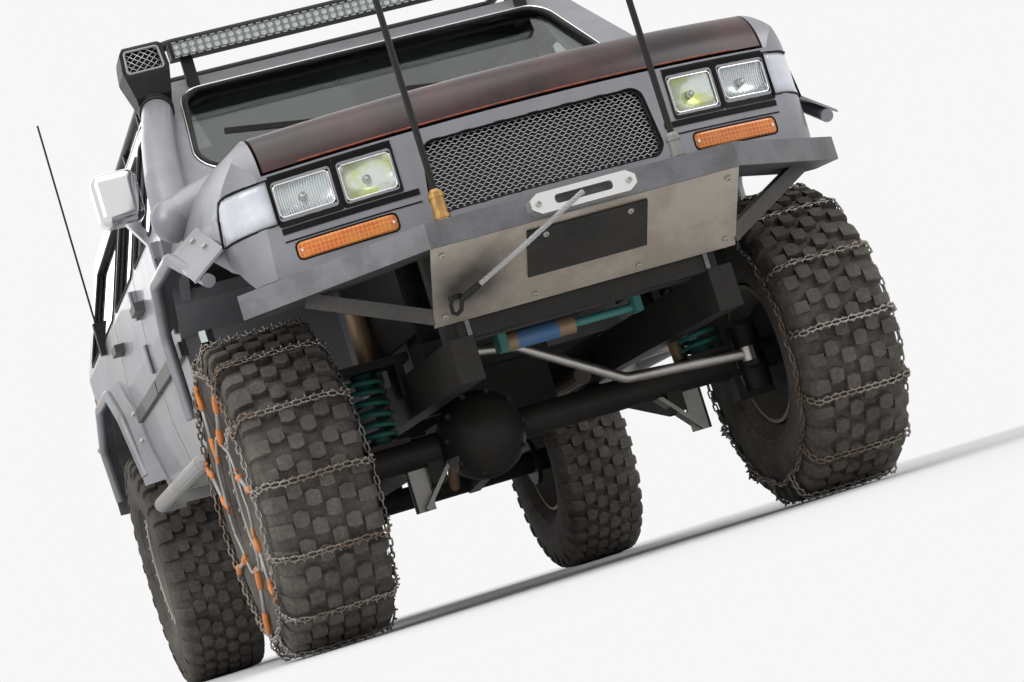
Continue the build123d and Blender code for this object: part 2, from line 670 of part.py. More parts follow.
# Inner arches: folded plates over the front wheels, with the wall towards the engine
inner_arch = cut(
    side_prism(FRONT_ARCH, TOE_X - TUB_WALL, 1000, grow=TUB_WALL),
    side_prism(FRONT_ARCH, TOE_X, 1100),
    slab((0, -900, 0), (1100, 900, 765)),
    slab((0, CABIN_FRONT - 8, 0), (1100, 900, 1400)),
    slab((0, -900, 0), (1100, -440, 1400)),
)
write(both_sides(within(inner_arch, engine_room)), "inner_arches")


# Arch flares: a sloping plate round each arch with a fat tube along its lip
def flare(arch, outer_x, reach, y_limit):
    """The plate runs from the lip at outer_x up to the body, widening the arch by reach."""
    with BuildPart() as plate:
        for grow, mode in ((0, Mode.ADD), (-8, Mode.SUBTRACT)):
            rings = []
            for x, wider in ((outer_x, 0), (838, reach)):
                with BuildSketch(Plane.YZ.offset(x)) as ring:
                    with BuildLine():
                        Polyline(*arch, close=True)
                    make_face()
                    offset(amount=wider + grow + 8, kind=Kind.INTERSECTION)
                rings.append(ring.sketch)
            loft(rings, ruled=True, mode=mode)
        add(slab((0, -2000, 0), (1200, 6000, 760)), mode=Mode.SUBTRACT)
        add(slab((0, -2000, 0), (868, 6000, 2000)), mode=Mode.SUBTRACT)
        add(slab((0, y_limit[0] - 2000, 0), (1200, y_limit[0], 2000)), mode=Mode.SUBTRACT)
        add(slab((0, y_limit[1], 0), (1200, y_limit[1] + 2000, 2000)), mode=Mode.SUBTRACT)
    return plate.part


LIP_RADIUS = 19
front_lip = tube(
    [(930, -470, 1050), (966, -112, 1190), (966, 328, 1197), (962, 474, 1050), (956, 474, 790)], LIP_RADIUS,
    60)
rear_lip = tube(
    [(950, 2200, 790), (966, 2332, 1034), (966, 2600, 1171), (966, 3060, 1171), (966, 3372, 1034),
    (950, 3450, 820)],
    LIP_RADIUS, 60)
flares = both_sides(flare(FRONT_ARCH, 966, 85, (-470, 494)), front_lip,
                    flare(REAR_ARCH, 966, 80, (2115, 3600)), rear_lip)
write(cut(flares, cabin_solid, front_solid), "arch_flares")

# Chassis: two straight rails, cross members and the brackets that carry the axles and bumpers
RAIL_TOP = RAIL_Z + RAIL_HEIGHT / 2
CROSS_MEMBERS = (620, 1450, 2510, 3240, 3800)
rails = both_sides(slab(
    (RAIL_X - RAIL_WIDTH / 2, -745, RAIL_Z - RAIL_HEIGHT / 2),
    (RAIL_X + RAIL_WIDTH / 2, 3860, RAIL_Z + RAIL_HEIGHT / 2)))
members = [slab((-RAIL_X, y - 30, RAIL_Z - 25), (RAIL_X, y + 30, RAIL_Z + 35)) for y in CROSS_MEMBERS]
# the foremost one lies on top of the rails, clear of the steering
members.append(slab((-RAIL_X, -735, RAIL_TOP - 6), (RAIL_X, -690, RAIL_TOP + 44)))
# and one that holds the steering damper stands over them on two feet
members += [slab((-RAIL_X, -385, RAIL_TOP + 22), (RAIL_X, -345, RAIL_TOP + 48)),
            both_sides(slab((RAIL_X - 25, -385, RAIL_TOP - 6), (RAIL_X + 25, -345, RAIL_TOP + 48)))]
spring_towers = [
    slab((RAIL_X, -75, 735), (585, 75, 760)), slab((RAIL_X, WHEELBASE - 75, 675), (560, WHEELBASE + 75, 690)),
]
towers = [slab((RAIL_X + 20, -60, 640), (RAIL_X + 45, 60, 760))]
steering_box = slab((-RAIL_X - 20, -330, 690), (-RAIL_X + 60, -190, 830))
arm_brackets = both_sides(
    slab((RAIL_X - 30, 740, 520), (RAIL_X + 20, 820, 575)),
    slab((RAIL_X - 30, 1980, 500), (RAIL_X + 20, 2060, 575)))
frame = joined(rails, *members, both_sides(*spring_towers, *towers), steering_box, arm_brackets)

# Axles: the front one with yokes for the kingpins
DIFF_X = -225
DIFF_Y = -30
DIFF_RADIUS = 132
AXLE_RADIUS = 46
YOKE_HALF = 118
YOKE_PLATE = 18
KNUCKLE_HALF = YOKE_HALF - YOKE_PLATE - SEAT_GAP


def axle_beam(y, z, half, diff_y):
    with BuildPart() as beam:
        add(disc(-half, half, y, z, AXLE_RADIUS))
        with Locations(Location((DIFF_X, y + diff_y, z), (0, 90, 0))):
            Sphere(DIFF_RADIUS)
    return beam.part


yoke = joined(
    slab((575, -30, FRONT_HUB_Z - YOKE_HALF), (592, 30, FRONT_HUB_Z + YOKE_HALF)),
    slab((575, -30, FRONT_HUB_Z + YOKE_HALF - YOKE_PLATE), (690, 30, FRONT_HUB_Z + YOKE_HALF)),
    slab((575, -30, FRONT_HUB_Z - YOKE_HALF), (690, 30, FRONT_HUB_Z - YOKE_HALF + YOKE_PLATE)),
)
spring_seat = slab((440, -70, 505), (570, 70, 520))
arm_front = joined(box_bar((380, 0, 385), (380, 790, 548), 48, 44), slab((356, -30, 370), (404, 40, 460)))
front_beam = axle_beam(0, FRONT_HUB_Z, 585, DIFF_Y)
skid = joined(
    box_bar((440, 0, FRONT_HUB_Z - 30), (440, 0, 300), 60, 12),
    box_bar((440, 0, 304), (330, 0, FRONT_HUB_Z - 40), 60, 12),
)
front_axle = joined(front_beam, both_sides(yoke, spring_seat, skid))
write(front_axle, "front_axle")
rear_seat = slab((440, WHEELBASE - 70, 505), (560, WHEELBASE + 70, 520))
rear_axle = joined(
    axle_beam(WHEELBASE, REAR_HUB_Z, 640, DIFF_Y),
    both_sides(rear_seat, disc(640, 660, WHEELBASE, REAR_HUB_Z, 95),
    disc(660, 812, WHEELBASE, REAR_HUB_Z, 45),
               disc(WHEEL_X, WHEEL_X + RIM_DISC_X, WHEELBASE, REAR_HUB_Z, SPINDLE_RADIUS)))
write(rear_axle, "rear_axle")
arms = cut(both_sides(arm_front, box_bar((380, WHEELBASE, 440), (380, 2020, 535), 48, 60)), front_axle,
    rear_axle)
write(joined(frame, arms), "chassis_frame")


def coil(x, y, low, high, turns, radius, wire):
    """A coil spring as rings of wire held by a thin sleeve."""
    step = (high - low - 2 * wire) / turns
    with BuildPart() as spring:
        with BuildSketch(Plane.XZ):
            with BuildLine():
                corners = [(radius - 2 * wire, low)]
                for ring in range(turns + 1):
                    middle = low + wire + ring * step
                    corners += [(radius - wire, middle - wire), (radius, middle),
                        (radius - wire, middle + wire)]
                corners += [(radius - 2 * wire, high)]
                Polyline(*corners, close=True)
            make_face()
        revolve(axis=Axis.Z)
    return spring.part.moved(Location((x, y, 0)))


write(both_sides(coil(510, 0, 520, 735, 4, 60, 9), coil(500, WHEELBASE, 520, 675, 3, 58, 9)), "coil_springs")
shocks = both_sides(
    tube([(470, 75, 470), (460, 88, 700)], 24), tube([(460, 88, 700), (455, 100, 930)], 30),
    tube([(300, WHEELBASE - 30, 455), (295, WHEELBASE - 170, 560)], 24),
    tube([(295, WHEELBASE - 170, 560), (285, WHEELBASE - 310, 655)], 30))
damper = joined(
    tube([(-170, -312, 684), (60, -312, 684)], 27), tube([(60, -312, 684), (250, -312, 684)], 12),
    slab((-175, -355, 664), (-150, -285, 715)), slab((240, -355, 664), (262, -300, 715)))
write(cut(joined(shocks, damper), front_axle, rear_axle, frame), "shock_absorbers")

# Steering knuckles: the left one carries the drag link, the right one the tie rod
ARM_Z = 440
TIE_Y = 172
TIE_X = KINGPIN_X - 45
LINK_X = KINGPIN_X - 75
LINK_Y = -190
knuckle_common = [
    post(KINGPIN_X, 0, FRONT_HUB_Z - KNUCKLE_HALF, FRONT_HUB_Z + KNUCKLE_HALF, 42),
    disc(KINGPIN_X + 30, WHEEL_X + 12, 0, FRONT_HUB_Z, 45),
    disc(WHEEL_X, WHEEL_X + RIM_DISC_X, 0, FRONT_HUB_Z, SPINDLE_RADIUS),
    disc(KINGPIN_X + 70, KINGPIN_X + 88, 0, FRONT_HUB_Z, 150),
    plan_prism(((640, 30), (694, 30), (TIE_X + 30, TIE_Y + 22), (TIE_X - 22, TIE_Y + 22),
    (TIE_X - 22, TIE_Y - 22)),
               ARM_Z - 12, ARM_Z + 6),
]
link_arm = plan_prism(
    ((690, -30), (636, -30), (LINK_X - 18, LINK_Y + 15), (LINK_X - 18, LINK_Y - 18),
    (LINK_X + 20, LINK_Y - 18)),
    ARM_Z - 8, ARM_Z + 8)
knuckle = joined(*knuckle_common)
write(joined(*knuckle_common, link_arm), "knuckle_left")
write(mirrored(knuckle), "knuckle_right")
# The tie rod turns on the right knuckle; its left end stands clear of the left arm's top
write(joined(tube([(-TIE_X, TIE_Y, ARM_Z + 26), (TIE_X, TIE_Y, ARM_Z + 26)], 15),
             post(-TIE_X, TIE_Y, ARM_Z + 6.5, ARM_Z + 42, 19),
             post(TIE_X, TIE_Y, ARM_Z + 12, ARM_Z + 42, 19)), "tie_rod")
write(joined(tube([(LINK_X, LINK_Y, ARM_Z + 30), (200, LINK_Y, 500), (-91, LINK_Y, 678),
    (-236, LINK_Y, 700)], 16, 60),
             post(LINK_X, LINK_Y, ARM_Z + 8.5, ARM_Z + 50, 21)), "drag_link")

# Under the floor
engine = joined(
    slab((-200, -420, 740), (200, 330, 1240)), slab((-150, 330, 690), (150, 394, 900)),
    slab((-150, 394, 480), (150, 590, 692)), slab((-120, 590, 480), (120, 1150, 600)),
    slab((-380, -600, 690), (380, -545, 1225)), slab((-300, 3010, 480), (130, 3760, RAIL_Z - 25)))
props = joined(tube([(DIFF_X + 30, 60, 545), (-130, 560, 545)], 26),
    tube([(0, 1140, 545), (DIFF_X + 20, 2740, 478)], 34))
write(cut(joined(engine, props), frame, front_axle, rear_axle), "powertrain")
exhaust = mitred([(230, 330, 578), (230, 2250, 578), (180, 2400, 578), (180, 3860, 578)], 28)
write(cut(exhaust, frame), "exhaust")
sliders = both_sides(
    mitred([(850, 560, 668), (880, 568, 668), (932, 606, 668), (940, 650, 668), (940, 2070, 668),
    (932, 2112, 668),
            (880, 2134, 668), (850, 2140, 668)], 28),
    *[box_bar((RAIL_X + 30, y, 650), (930, y, 668), 50, 40) for y in (800, 1350, 1950)])
write(cut(sliders, frame), "rock_sliders")

# Front bumper: a box beam with swept wings, a bare plate under it, and what they carry
WINCH_LOW = 800
beam = plan_prism(
    ((-436, BEAM_FRONT), (436, BEAM_FRONT), (884, -560), (846, -470), (796, -470), (396, -857), (-396, -857),
     (-796, -470), (-846, -470), (-884, -560)), BEAM_LOW, BEAM_HIGH)
brackets = joined(
    both_sides(slab((340, -940, RAIL_Z + RAIL_HEIGHT / 2), (352, -640, 950)),
               box_bar((402, -765, 745), (720, -640, 905), 40, 40)),
    slab((-345, -830, 784), (345, -690, WINCH_LOW)))
PLATE = ((-955, BEAM_LOW), (-947, BEAM_LOW), (-742, 732), (-750, 732))
before_plate = side_prism(((-1200, BEAM_LOW), PLATE[0], PLATE[1], PLATE[2], (-742, 600), (-1200, 600)),
    -436, 436)
write(cut(joined(beam, brackets), before_plate, frame), "front_bumper")
plate = side_prism(PLATE, -436, 436)
write(plate, "bumper_plate")
plate_fall = math.atan2(PLATE[0][1] - PLATE[3][1], PLATE[3][0] - PLATE[0][0])


def on_plate(down, out):
    """A point of (y, z) in front of the bare plate, so far down it from its top edge."""
    return (PLATE[0][0] + down * math.cos(plate_fall) - out * math.sin(plate_fall),
            PLATE[0][1] - down * math.sin(plate_fall) - out * math.cos(plate_fall))


NUMBER_TOP = 25
NUMBER_LOW = 180
write(side_prism((on_plate(NUMBER_TOP, 0), on_plate(NUMBER_TOP, 6), on_plate(NUMBER_LOW, 6),
    on_plate(NUMBER_LOW, 0)),
                 -170, 170), "number_plate")
# the fairlead's outline from the front, and the slot in it
FAIRLEAD = ((-163, 930), (-140, 914), (107, 914), (130, 930), (130, 953), (107, 969), (-140, 969),
    (-163, 953))
FAIRLEAD_SLOT = ((-97, 930), (64, 930), (64, 954), (-97, 954))
write(cut(front_prism(FAIRLEAD, -1020, BEAM_FRONT, 5), front_prism(FAIRLEAD_SLOT, -1040, -900, 10)),
    "fairlead")
write(joined(tube([(-200, -760, 850), (180, -760, 850)], 34),
    slab((-290, -800, WINCH_LOW), (-200, -710, 905)),
             slab((180, -800, WINCH_LOW), (270, -710, 905))), "winch")
hook = cut(slab((-400, -850, 742), (-366, -790, 790)), plate)
write(joined(tube([(-16, -1005, 942), (-16, -1030, 942), (-90, -1030, 904), (-372, -845, 772)], 6, 8),
    hook), "winch_rope")
poles = joined(
    tube([(-369, -912, BEAM_HIGH), (-369, -912, 1055)], 19),
    tube([(298, -912, BEAM_HIGH), (298, -912, 1040)], 17),
    tube([(-369, -912, 1055), (-369, -912, 1760)], 9), tube([(298, -912, 1040), (298, -912, 1760)], 9))
whip = joined(slab((-925, 2775, 1350), (-870, 2825, 1480)), tube([(-912, 2800, 1480), (-912, 2800, 2313)], 4))
write(joined(poles, cut(whip, cabin_solid)), "aerials")

# Snorkel, mirrors and roof
# centre of the snorkel's tube and its radius, from the elbow up to the neck
SNORKEL = (
    (-876, 175, 1348, 67), (-846, 345, 1500, 62), (-800, 550, 1655, 57), (-744, 760, 1814, 49),
)
SNORKEL_MOUTH = (-725, 150, 1392)
SNORKEL_BALL = 71
HEAD_CORNER = 14
# the head's outline from the side, its front edge the mouth, and from the front
HEAD_SIDE = (
    (730, 1852), (718, 1920), (718, 2020), (760, 2031), (820, 2022), (872, 1984), (880, 1930), (845, 1835),
    (791, 1774),
)
HEAD_FRONT = (
    (-798, 1760), (-798, 1832), (-824, 1940), (-818, 2004), (-796, 2032), (-700, 2032), (-676, 2010),
    (-670, 1940),
    (-690, 1832), (-690, 1760),
)
HEAD_MOUTH = ((-808, 1934), (-803, 2006), (-693, 2006), (-687, 1934))
HEAD_DEPTH = 34
snorkel_rings = []
for number, (x, y, z, radius) in enumerate(SNORKEL):
    before = SNORKEL[max(number - 1, 0)]
    after = SNORKEL[min(number + 1, len(SNORKEL) - 1)]
    along = Vector(*after[:3]) - Vector(*before[:3])
    with BuildSketch(Plane((x, y, z), x_dir=(1, 0, 0), z_dir=along)) as ring:
        Circle(radius)
    snorkel_rings.append(ring.sketch)
with BuildPart() as snorkel:
    loft(snorkel_rings, ruled=True)
    with Locations(SNORKEL[0][:3]):
        Sphere(SNORKEL_BALL)
    add(tube([SNORKEL[0][:3], SNORKEL_MOUTH], SNORKEL_BALL - 5))
snorkel_head = cut(
    within(side_prism(HEAD_SIDE, -900, -600, corner=HEAD_CORNER),
    front_prism(HEAD_FRONT, 600, 1000, HEAD_CORNER)),
    front_prism(HEAD_MOUTH, HEAD_SIDE[2][0] - 20, HEAD_SIDE[2][0] + HEAD_DEPTH, 8), cabin_solid)
write(cut(snorkel.part, cabin_solid, front_solid, snorkel_head), "snorkel")
write(snorkel_head, "snorkel_head")
MIRROR_CORNER = 34
with BuildPart() as mirror_cap:
    add(slab((884, 640, 1460), (1030, 722, 1632)))
    fillet(mirror_cap.edges().sort_by(Axis.Y)[:-4], radius=MIRROR_CORNER)
mirror_left = cut(joined(mirror_cap.part, box_bar((885, 690, 1370), (955, 690, 1490), 36, 30)), cabin_solid)
write(mirror_left, "mirror_left")
write(mirrored(mirror_left), "mirror_right")
RACK_X = 646
RACK_Z = 2058
RACK_FRONT = 960
RACK_REAR = 3330
RACK_RADIUS = 17
hoop_tube = tube([(RACK_X, RACK_REAR, RACK_Z), (RACK_X, RACK_FRONT, RACK_Z), (-RACK_X, RACK_FRONT, RACK_Z),
                  (-RACK_X, RACK_REAR, RACK_Z)], RACK_RADIUS)
legs = [slab((620, y - 15, 1950), (660, y + 15, RACK_Z)) for y in (1200, 1850, 2500, 3200)]
bars = [tube([(-RACK_X, y, RACK_Z), (RACK_X, y, RACK_Z)], RACK_RADIUS - 3) for y in (1500, 2100, 2700,
    RACK_REAR)]
write(cut(joined(hoop_tube, both_sides(*legs), *bars), cabin_solid), "roof_rack")
LIGHT_BAR_LOW = 1988
LIGHT_BAR_HIGH = 2043
light_bar = cut(slab((-632, 880, LIGHT_BAR_LOW), (632, 938, LIGHT_BAR_HIGH)),
                slab((-618, 870, LIGHT_BAR_LOW + 7), (618, 886, LIGHT_BAR_HIGH - 7)))
light_feet = both_sides(slab((560, 905, 1890), (600, 925, LIGHT_BAR_LOW + 2)))
write(cut(joined(light_bar, light_feet), cabin_solid), "light_bar")

# Tail
write(both_sides(cut(within(cut(cabin(-4), cabin(20)),
    slab((LID_HALF + 20, 3780, 1060), (930, 3990, 1300))), cabin_solid)),
      "tail_lamps")
TOW_RADIUS = 12.5
TOW_Y = 3960
tow_bore = tube([(0, TOW_Y, 500), (0, TOW_Y, 611.99)], TOW_RADIUS)
rear_beam = plan_prism(
    ((-880, 3860), (-860, 3980), (860, 3980), (880, 3860), (880, 3700), (850, 3700), (830, 3860),
     (-830, 3860), (-850, 3700), (-880, 3700)), 605, 740)
write(cut(joined(rear_beam, slab((-35, 3860, 540), (35, 3996, 612))), cabin_solid, frame, tow_bore),
    "rear_bumper")

# Seats and dashboard
front_seat = joined(
    slab((165, 1000, 900), (665, 1490, 1040)),
    side_prism(((1430, 1000), (1540, 1000), (1660, 1580), (1560, 1580)), 175, 655),
    slab((300, 1570, 1560), (530, 1650, 1740)))
bench = joined(slab((-570, 2080, 900), (570, 2520, 1040)),
               side_prism(((2460, 1000), (2560, 1000), (2650, 1560), (2560, 1560)), -570, 570))
seat_base = slab((230, 1080, FLOOR_TOP), (600, 1440, 900))
write(joined(both_sides(front_seat), bench), "seats")
seat_bases = joined(both_sides(seat_base), slab((-560, 2140, FLOOR_TOP), (560, 2480, 900)))
dash = joined(side_prism(((CABIN_FRONT + CABIN_WALL, 1130), (CABIN_FRONT + CABIN_WALL, 1400), (640, 1420),
    (860, 1330),
                          (880, 1240), (760, 1080), (530, 1080)), -800, 800),
              slab((-110, 800, FLOOR_TOP), (110, 1480, 960)))
wheel_plane = Plane((-415, 930, 1270), x_dir=(1, 0, 0), z_dir=(0, 0.86, 0.5))
with BuildPart() as steering_wheel:
    with BuildSketch(wheel_plane):
        RegularPolygon(195, 20)
        RegularPolygon(168, 20, mode=Mode.SUBTRACT)
        Rectangle(350, 40)
        Circle(60)
    extrude(amount=24)
column = tube([(-415, 930, 1270), (-415, 760, 1172)], 25)
write(joined(dash, seat_bases, steering_wheel.part, column), "cabin_fittings")
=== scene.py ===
import math
import bmesh
import bpy
from mathutils import Matrix, Vector


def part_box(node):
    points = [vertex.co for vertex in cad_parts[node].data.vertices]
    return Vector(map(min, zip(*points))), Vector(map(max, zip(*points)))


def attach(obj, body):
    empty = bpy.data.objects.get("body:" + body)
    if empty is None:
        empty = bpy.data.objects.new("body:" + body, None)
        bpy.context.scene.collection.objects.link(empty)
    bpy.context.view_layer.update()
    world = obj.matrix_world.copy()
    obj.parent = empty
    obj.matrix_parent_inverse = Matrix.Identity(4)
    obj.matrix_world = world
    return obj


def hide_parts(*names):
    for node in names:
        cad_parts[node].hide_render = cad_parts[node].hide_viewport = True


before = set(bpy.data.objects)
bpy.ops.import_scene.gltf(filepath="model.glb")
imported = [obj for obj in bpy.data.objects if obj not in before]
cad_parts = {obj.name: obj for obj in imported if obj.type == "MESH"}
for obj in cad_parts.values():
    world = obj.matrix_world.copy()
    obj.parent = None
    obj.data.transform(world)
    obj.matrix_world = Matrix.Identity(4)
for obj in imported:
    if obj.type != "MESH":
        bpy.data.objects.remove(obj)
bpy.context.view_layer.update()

# The view: a camera lying almost on the ground in front of the car's right side, looking up
# at its nose and leaning over by seventeen degrees, with a long lens.
view_yaw, view_pitch, view_roll = 0.2617, 0.0861, -0.2987
camera_place = (-1.9513, -8.6004, 0.0753)
focal_pixels, picture_pixels, sensor_mm = 2499.3, 1024, 36
ahead = Vector((math.sin(view_yaw) * math.cos(view_pitch), math.cos(view_yaw) * math.cos(view_pitch),
                math.sin(view_pitch)))
level = Vector((math.cos(view_yaw), -math.sin(view_yaw), 0))
over = level.cross(ahead)
right = math.cos(view_roll) * level + math.sin(view_roll) * over
up = math.cos(view_roll) * over - math.sin(view_roll) * level
camera = bpy.data.objects.new("camera", bpy.data.cameras.new("camera"))
camera.matrix_world = Matrix((
    (right.x, up.x, -ahead.x, camera_place[0]), (right.y, up.y, -ahead.y, camera_place[1]),
    (right.z, up.z, -ahead.z, camera_place[2]), (0, 0, 0, 1)))
camera.data.lens = focal_pixels / picture_pixels * sensor_mm
camera.data.clip_start = 0.05
bpy.context.collection.objects.link(camera)
bpy.context.scene.camera = camera

# Studio: a pale floor, four broad soft lamps over, beside and behind, and a white surround.


def nodes_of(owner, kind="Material"):
    """A fresh node tree for a material or the world, with its output."""
    owner.use_nodes = True
    tree = owner.node_tree
    tree.nodes.clear()
    return tree, tree.nodes.new("ShaderNodeOutput" + kind)


def wired(tree, *pairs):
    """Links each output to its input."""
    for start, end in pairs:
        tree.links.new(start, end)


def new_material(name, **values):
    """A material of one plain shader, with values for the sockets that the words name."""
    made = bpy.data.materials.new(name)
    tree, output = nodes_of(made)
    shader = tree.nodes.new("ShaderNodeBsdfPrincipled")
    for label, value in values.items():
        shader.inputs[label.replace("_", " ")].default_value = value
    tree.links.new(shader.outputs[0], output.inputs[0])
    return made, tree, shader, output


def white_to_the_eye(tree):
    """One for rays that the camera sends, straight on or by way of a mirror or a pane."""
    rays = tree.nodes.new("ShaderNodeLightPath").outputs
    seen_or_mirrored = tree.nodes.new("ShaderNodeMath")
    seen = tree.nodes.new("ShaderNodeMath")
    seen.use_clamp = True
    wired(tree, (rays["Is Camera Ray"], seen_or_mirrored.inputs[0]),
          (rays["Is Glossy Ray"], seen_or_mirrored.inputs[1]),
          (seen_or_mirrored.outputs[0], seen.inputs[0]), (rays["Is Transmission Ray"], seen.inputs[1]))
    return seen.outputs[0]


def soft_lamp(name, place, aim, size, power):
    lamp = bpy.data.objects.new(name, bpy.data.lights.new(name, "AREA"))
    lamp.data.shape = "RECTANGLE"
    lamp.data.size, lamp.data.size_y = size
    lamp.data.energy = power
    lamp.location = place
    lamp.rotation_euler = (Vector(aim) - Vector(place)).to_track_quat("-Z", "Y").to_euler()
    bpy.context.collection.objects.link(lamp)


soft_lamp("lamp_over", (-1.5, -2.5, 7.0), (0, -0.5, 0.8), (7, 7), 300)
soft_lamp("lamp_left", (6.0, -5.5, 5.4), (0, -1.5, 0.9), (4, 4), 200)
soft_lamp("lamp_right", (-6.5, -4.5, 4.6), (0, -1.0, 1.0), (4, 4), 190)
soft_lamp("lamp_back", (0, 8.0, 4.5), (0, 1.0, 0.8), (6, 4), 180)
floor_mesh = bpy.data.meshes.new("floor")
floor_mesh.from_pydata([(-60, -30, 0), (60, -30, 0), (60, 90, 0), (-60, 90, 0)], [], [(0, 1, 2, 3)])
floor = bpy.data.objects.new("floor", floor_mesh)
bpy.context.collection.objects.link(floor)
studio_white = (0.93, 0.93, 0.93, 1)
floor_paint, tree, matt, output = new_material("floor", Base_Color=(0.78, 0.78, 0.77, 1), Roughness=0.9)
away = tree.nodes.new("ShaderNodeVectorMath")
away.operation = "LENGTH"
tree.links.new(tree.nodes.new("ShaderNodeTexCoord").outputs["Object"], away.inputs[0])
fade = tree.nodes.new("ShaderNodeMapRange")
fade.interpolation_type = "SMOOTHSTEP"
fade.inputs[1].default_value, fade.inputs[2].default_value = 2.6, 6.0
tree.links.new(away.outputs["Value"], fade.inputs[0])
white_share = tree.nodes.new("ShaderNodeMath")
white_share.operation = "MULTIPLY"
glow = tree.nodes.new("ShaderNodeEmission")
glow.inputs[0].default_value = studio_white
into_white = tree.nodes.new("ShaderNodeMixShader")
wired(tree, (white_to_the_eye(tree), white_share.inputs[0]), (fade.outputs[0], white_share.inputs[1]),
      (white_share.outputs[0], into_white.inputs[0]), (matt.outputs[0], into_white.inputs[1]),
      (glow.outputs[0], into_white.inputs[2]), (into_white.outputs[0], output.inputs[0]))
floor_mesh.materials.append(floor_paint)
world = bpy.data.worlds.new("surround")
bpy.context.scene.world = world
surround, sky_output = nodes_of(world, "World")
seen = surround.nodes.new("ShaderNodeBackground")
seen.inputs[0].default_value = studio_white
lighting = surround.nodes.new("ShaderNodeBackground")
lighting.inputs[0].default_value = (0.80, 0.83, 0.88, 1)
lighting.inputs[1].default_value = 0.45
choose = surround.nodes.new("ShaderNodeMixShader")
wired(surround, (white_to_the_eye(surround), choose.inputs[0]), (lighting.outputs[0], choose.inputs[1]),
      (seen.outputs[0], choose.inputs[2]), (choose.outputs[0], sky_output.inputs[0]))
bpy.context.scene.view_settings.view_transform = "Standard"

# Body paint: silver grey that has seen years of dust, faded in patches, dirtier low
# down and on what faces up. The bonnet is a replacement in near-black that has gone brown.


def math_node(tree, operation, first, second=None, clamp=False):
    node = tree.nodes.new("ShaderNodeMath")
    node.operation = operation
    node.use_clamp = clamp
    for slot, value in ((0, first), (1, second)):
        if value is None:
            continue
        if isinstance(value, (int, float)):
            node.inputs[slot].default_value = value
        else:
            tree.links.new(value, node.inputs[slot])
    return node.outputs[0]


def mix_colour(tree, share, first, second):
    node = tree.nodes.new("ShaderNodeMix")
    node.data_type = "RGBA"
    for slot, value in ((0, share), (6, first), (7, second)):
        if isinstance(value, (int, float, tuple)):
            node.inputs[slot].default_value = value
        else:
            tree.links.new(value, node.inputs[slot])
    return node.outputs[2]


def noise(tree, where, scale, detail=6.0, rough=0.6):
    node = tree.nodes.new("ShaderNodeTexNoise")
    node.inputs["Scale"].default_value = scale
    node.inputs["Detail"].default_value = detail
    node.inputs["Roughness"].default_value = rough
    tree.links.new(where, node.inputs["Vector"])
    return node.outputs[0]


def spread(tree, value, low, high):
    """Stretches a mask so that low becomes nought and high becomes one."""
    node = tree.nodes.new("ShaderNodeMapRange")
    node.inputs[1].default_value = low
    node.inputs[2].default_value = high
    tree.links.new(value, node.inputs[0])
    return node.outputs[0]


dirt = bpy.data.node_groups.new("road_dirt", "ShaderNodeTree")
pale_dust = (0.33, 0.28, 0.22, 1)
for label, way, kind, value in (
        ("Colour", "INPUT", "Color", (0.5, 0.5, 0.5, 1)), ("Roughness", "INPUT", "Float", 0.4),
        ("Amount", "INPUT", "Float", 0.3), ("Dirt Colour", "INPUT", "Color", pale_dust),
        ("Colour", "OUTPUT", "Color", None), ("Roughness", "OUTPUT", "Float", None),
        ("Mask", "OUTPUT", "Float", None)):
    made = dirt.interface.new_socket(name=label, in_out=way, socket_type="NodeSocket" + kind)
    if value is not None:
        made.default_value = value
group_in = dirt.nodes.new("NodeGroupInput")
group_out = dirt.nodes.new("NodeGroupOutput")
place = dirt.nodes.new("ShaderNodeTexCoord").outputs["Object"]
facing = dirt.nodes.new("ShaderNodeNewGeometry").outputs["Normal"]
split = dirt.nodes.new("ShaderNodeSeparateXYZ")
dirt.links.new(facing, split.inputs[0])
height = dirt.nodes.new("ShaderNodeSeparateXYZ")
dirt.links.new(place, height.inputs[0])
upward = spread(dirt, split.outputs[2], -0.2, 1.0)
low_down = spread(dirt, height.outputs[2], 1.35, 0.35)
clouds = spread(dirt, noise(dirt, place, 5.0, 8.0, 0.68), 0.34, 0.66)
specks = spread(dirt, noise(dirt, place, 90.0, 4.0, 0.75), 0.42, 0.70)
weight = math_node(dirt, "ADD", math_node(dirt, "MULTIPLY", upward, 0.35),
                   math_node(dirt, "MULTIPLY", low_down, 0.55))
weight = math_node(dirt, "ADD", weight, 0.22)
weight = math_node(dirt, "MULTIPLY", weight,
                   math_node(dirt, "ADD", math_node(dirt, "MULTIPLY", clouds, 0.75), 0.30))
weight = math_node(dirt, "MULTIPLY", weight,
                   math_node(dirt, "ADD", math_node(dirt, "MULTIPLY", specks, 0.5), 0.72))
weight = math_node(dirt, "MULTIPLY", weight,
                   math_node(dirt, "MULTIPLY", group_in.outputs["Amount"], 2.0), clamp=True)
dirt.links.new(mix_colour(dirt, weight, group_in.outputs["Colour"], group_in.outputs["Dirt Colour"]),
               group_out.inputs["Colour"])
gap = math_node(dirt, "MULTIPLY", math_node(dirt, "SUBTRACT", 0.92, group_in.outputs["Roughness"]), weight)
dirt.links.new(math_node(dirt, "ADD", gap, group_in.outputs["Roughness"], clamp=True),
               group_out.inputs["Roughness"])
dirt.links.new(weight, group_out.inputs["Mask"])


